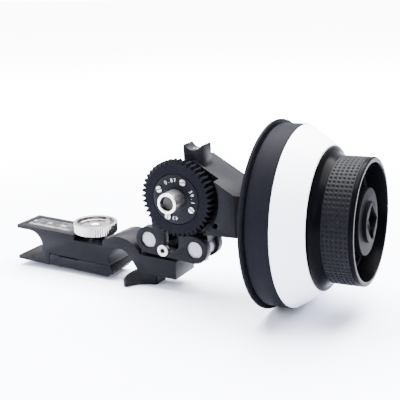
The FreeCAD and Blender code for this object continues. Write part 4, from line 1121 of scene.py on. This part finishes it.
@dataclass
class Studio(Assembly):
    """The floor that the unit stands on, the lights and the camera.

    The lever's foot and the camera's place and sensor are in millimetres, the rest in metres.
    """

    lever_contact: tuple[float, float] = (19.8, -10.9)
    floor_size: float = 12.0
    camera_place: Place = (218.66, -339.04, 151.76)
    azimuth: float = 27.43
    elevation: float = 16.56
    roll: float = 0.46
    focal_pixels: float = 786.91
    picture_pixels: float = 400.0
    sensor: float = 36.0
    clip: tuple[float, float] = (0.01, 20.0)
    aim: Place = (0.03, 0.0, 0.03)
    soft_boxes: tuple[SoftBox, ...] = (
        SoftBox("top_box", (0.0, 0.25, 0.95), 1.2, 165.0, (1.0, 0.99, 0.98)),
        SoftBox("left_box", (-0.9, -0.7, 0.5), 0.7, 26.0, (0.93, 0.95, 1.0)),
        SoftBox("right_box", (0.9, -0.9, 0.6), 0.5, 6.0, (0.96, 0.97, 1.0)),
    )
    bright_way: Place = (-0.1, 0.6, 0.79)
    dusk: float = -0.5
    noon: float = 0.9
    world_dark: Colour = (0.4, 0.42, 0.5)
    world_light: Colour = (2.5, 2.52, 2.66)
    world_seen: Colour = (14.0, 14.0, 14.0)

    def floor(self) -> None:
        """Builds the floor: a plane that rises gently, through the lever's foot and the wheel's rim."""
        places = node_points("wheel_flange")
        lowest = places[places[:, 2].argmin()]
        foot_x, foot_z = (value * MM for value in self.lever_contact)
        slope = (lowest[2] - foot_z) / (lowest[0] - foot_x)
        side = self.floor_size / 2
        corners = np.array([(-side, -side), (side, -side), (side, side), (-side, side)])
        rise = foot_z + slope * (corners[:, 0] - foot_x)
        plane = add_object("studio_floor", np.column_stack([corners, rise]), np.array([range(4)]))
        if plane.data.polygons[0].normal.z < 0:
            plane.data.flip_normals()
        self.dresser.paint(plane, Finish.STAGE)

    def camera(self) -> None:
        """Sets the camera from its place, azimuth, elevation, roll and focal length.

        With all three angles 0 it looks along +Y, with +Z up.
        """
        lens = bpy.data.cameras.new("camera")
        lens.sensor_width = self.sensor
        lens.lens = self.focal_pixels / self.picture_pixels * self.sensor
        lens.clip_start, lens.clip_end = self.clip
        eye = linked("camera", lens)
        turn = Matrix.Translation(Vector(self.camera_place) * MM)
        for way, degrees in (("Z", self.azimuth), ("X", 90.0 - self.elevation), ("Z", self.roll)):
            turn @= Matrix.Rotation(math.radians(degrees), 4, way)
        eye.matrix_world = turn
        bpy.context.scene.camera = eye

    def lights(self) -> None:
        """Hangs the soft boxes and sets the surroundings: bright above and behind, darker at the camera.

        The camera itself sees a plain white behind the floor.
        """
        for box in self.soft_boxes:
            box.hang(Vector(self.aim))
        world = bpy.data.worlds.new("pale_surroundings")
        world.use_nodes = True
        graph = Graph(world.node_tree)
        direction = graph.node("ShaderNodeTexCoord", output="Generated")
        rise = direction.along(self.bright_way).share(self.dusk, self.noon)
        seen = graph.node("ShaderNodeLightPath", output="Is Camera Ray")
        colour = graph.mix(seen, graph.mix(rise, self.world_dark, self.world_light), self.world_seen)
        graph.feed(graph.tree.nodes["Background"].inputs["Color"], colour)
        bpy.context.scene.world = world

    def build(self) -> None:
        """Builds the studio."""
        self.floor()
        self.camera()
        self.lights()


def main() -> None:
    """Builds every sub-assembly in order, then the studio."""
    logging.basicConfig(level=logging.INFO, format="%(name)s: %(message)s")
    dresser = Dresser()
    for assembly in (Bridge, Link, Gearbox, DriveGear, HandWheel, Studio):
        LOG.info("building %s", assembly.__name__)
        assembly(dresser).build()
    left = sorted(set(frame["nodes"]) - dresser.dressed)
    LOG.info("nodes without a finish: %s", left or "none")


if __name__ == "__main__":
    main()
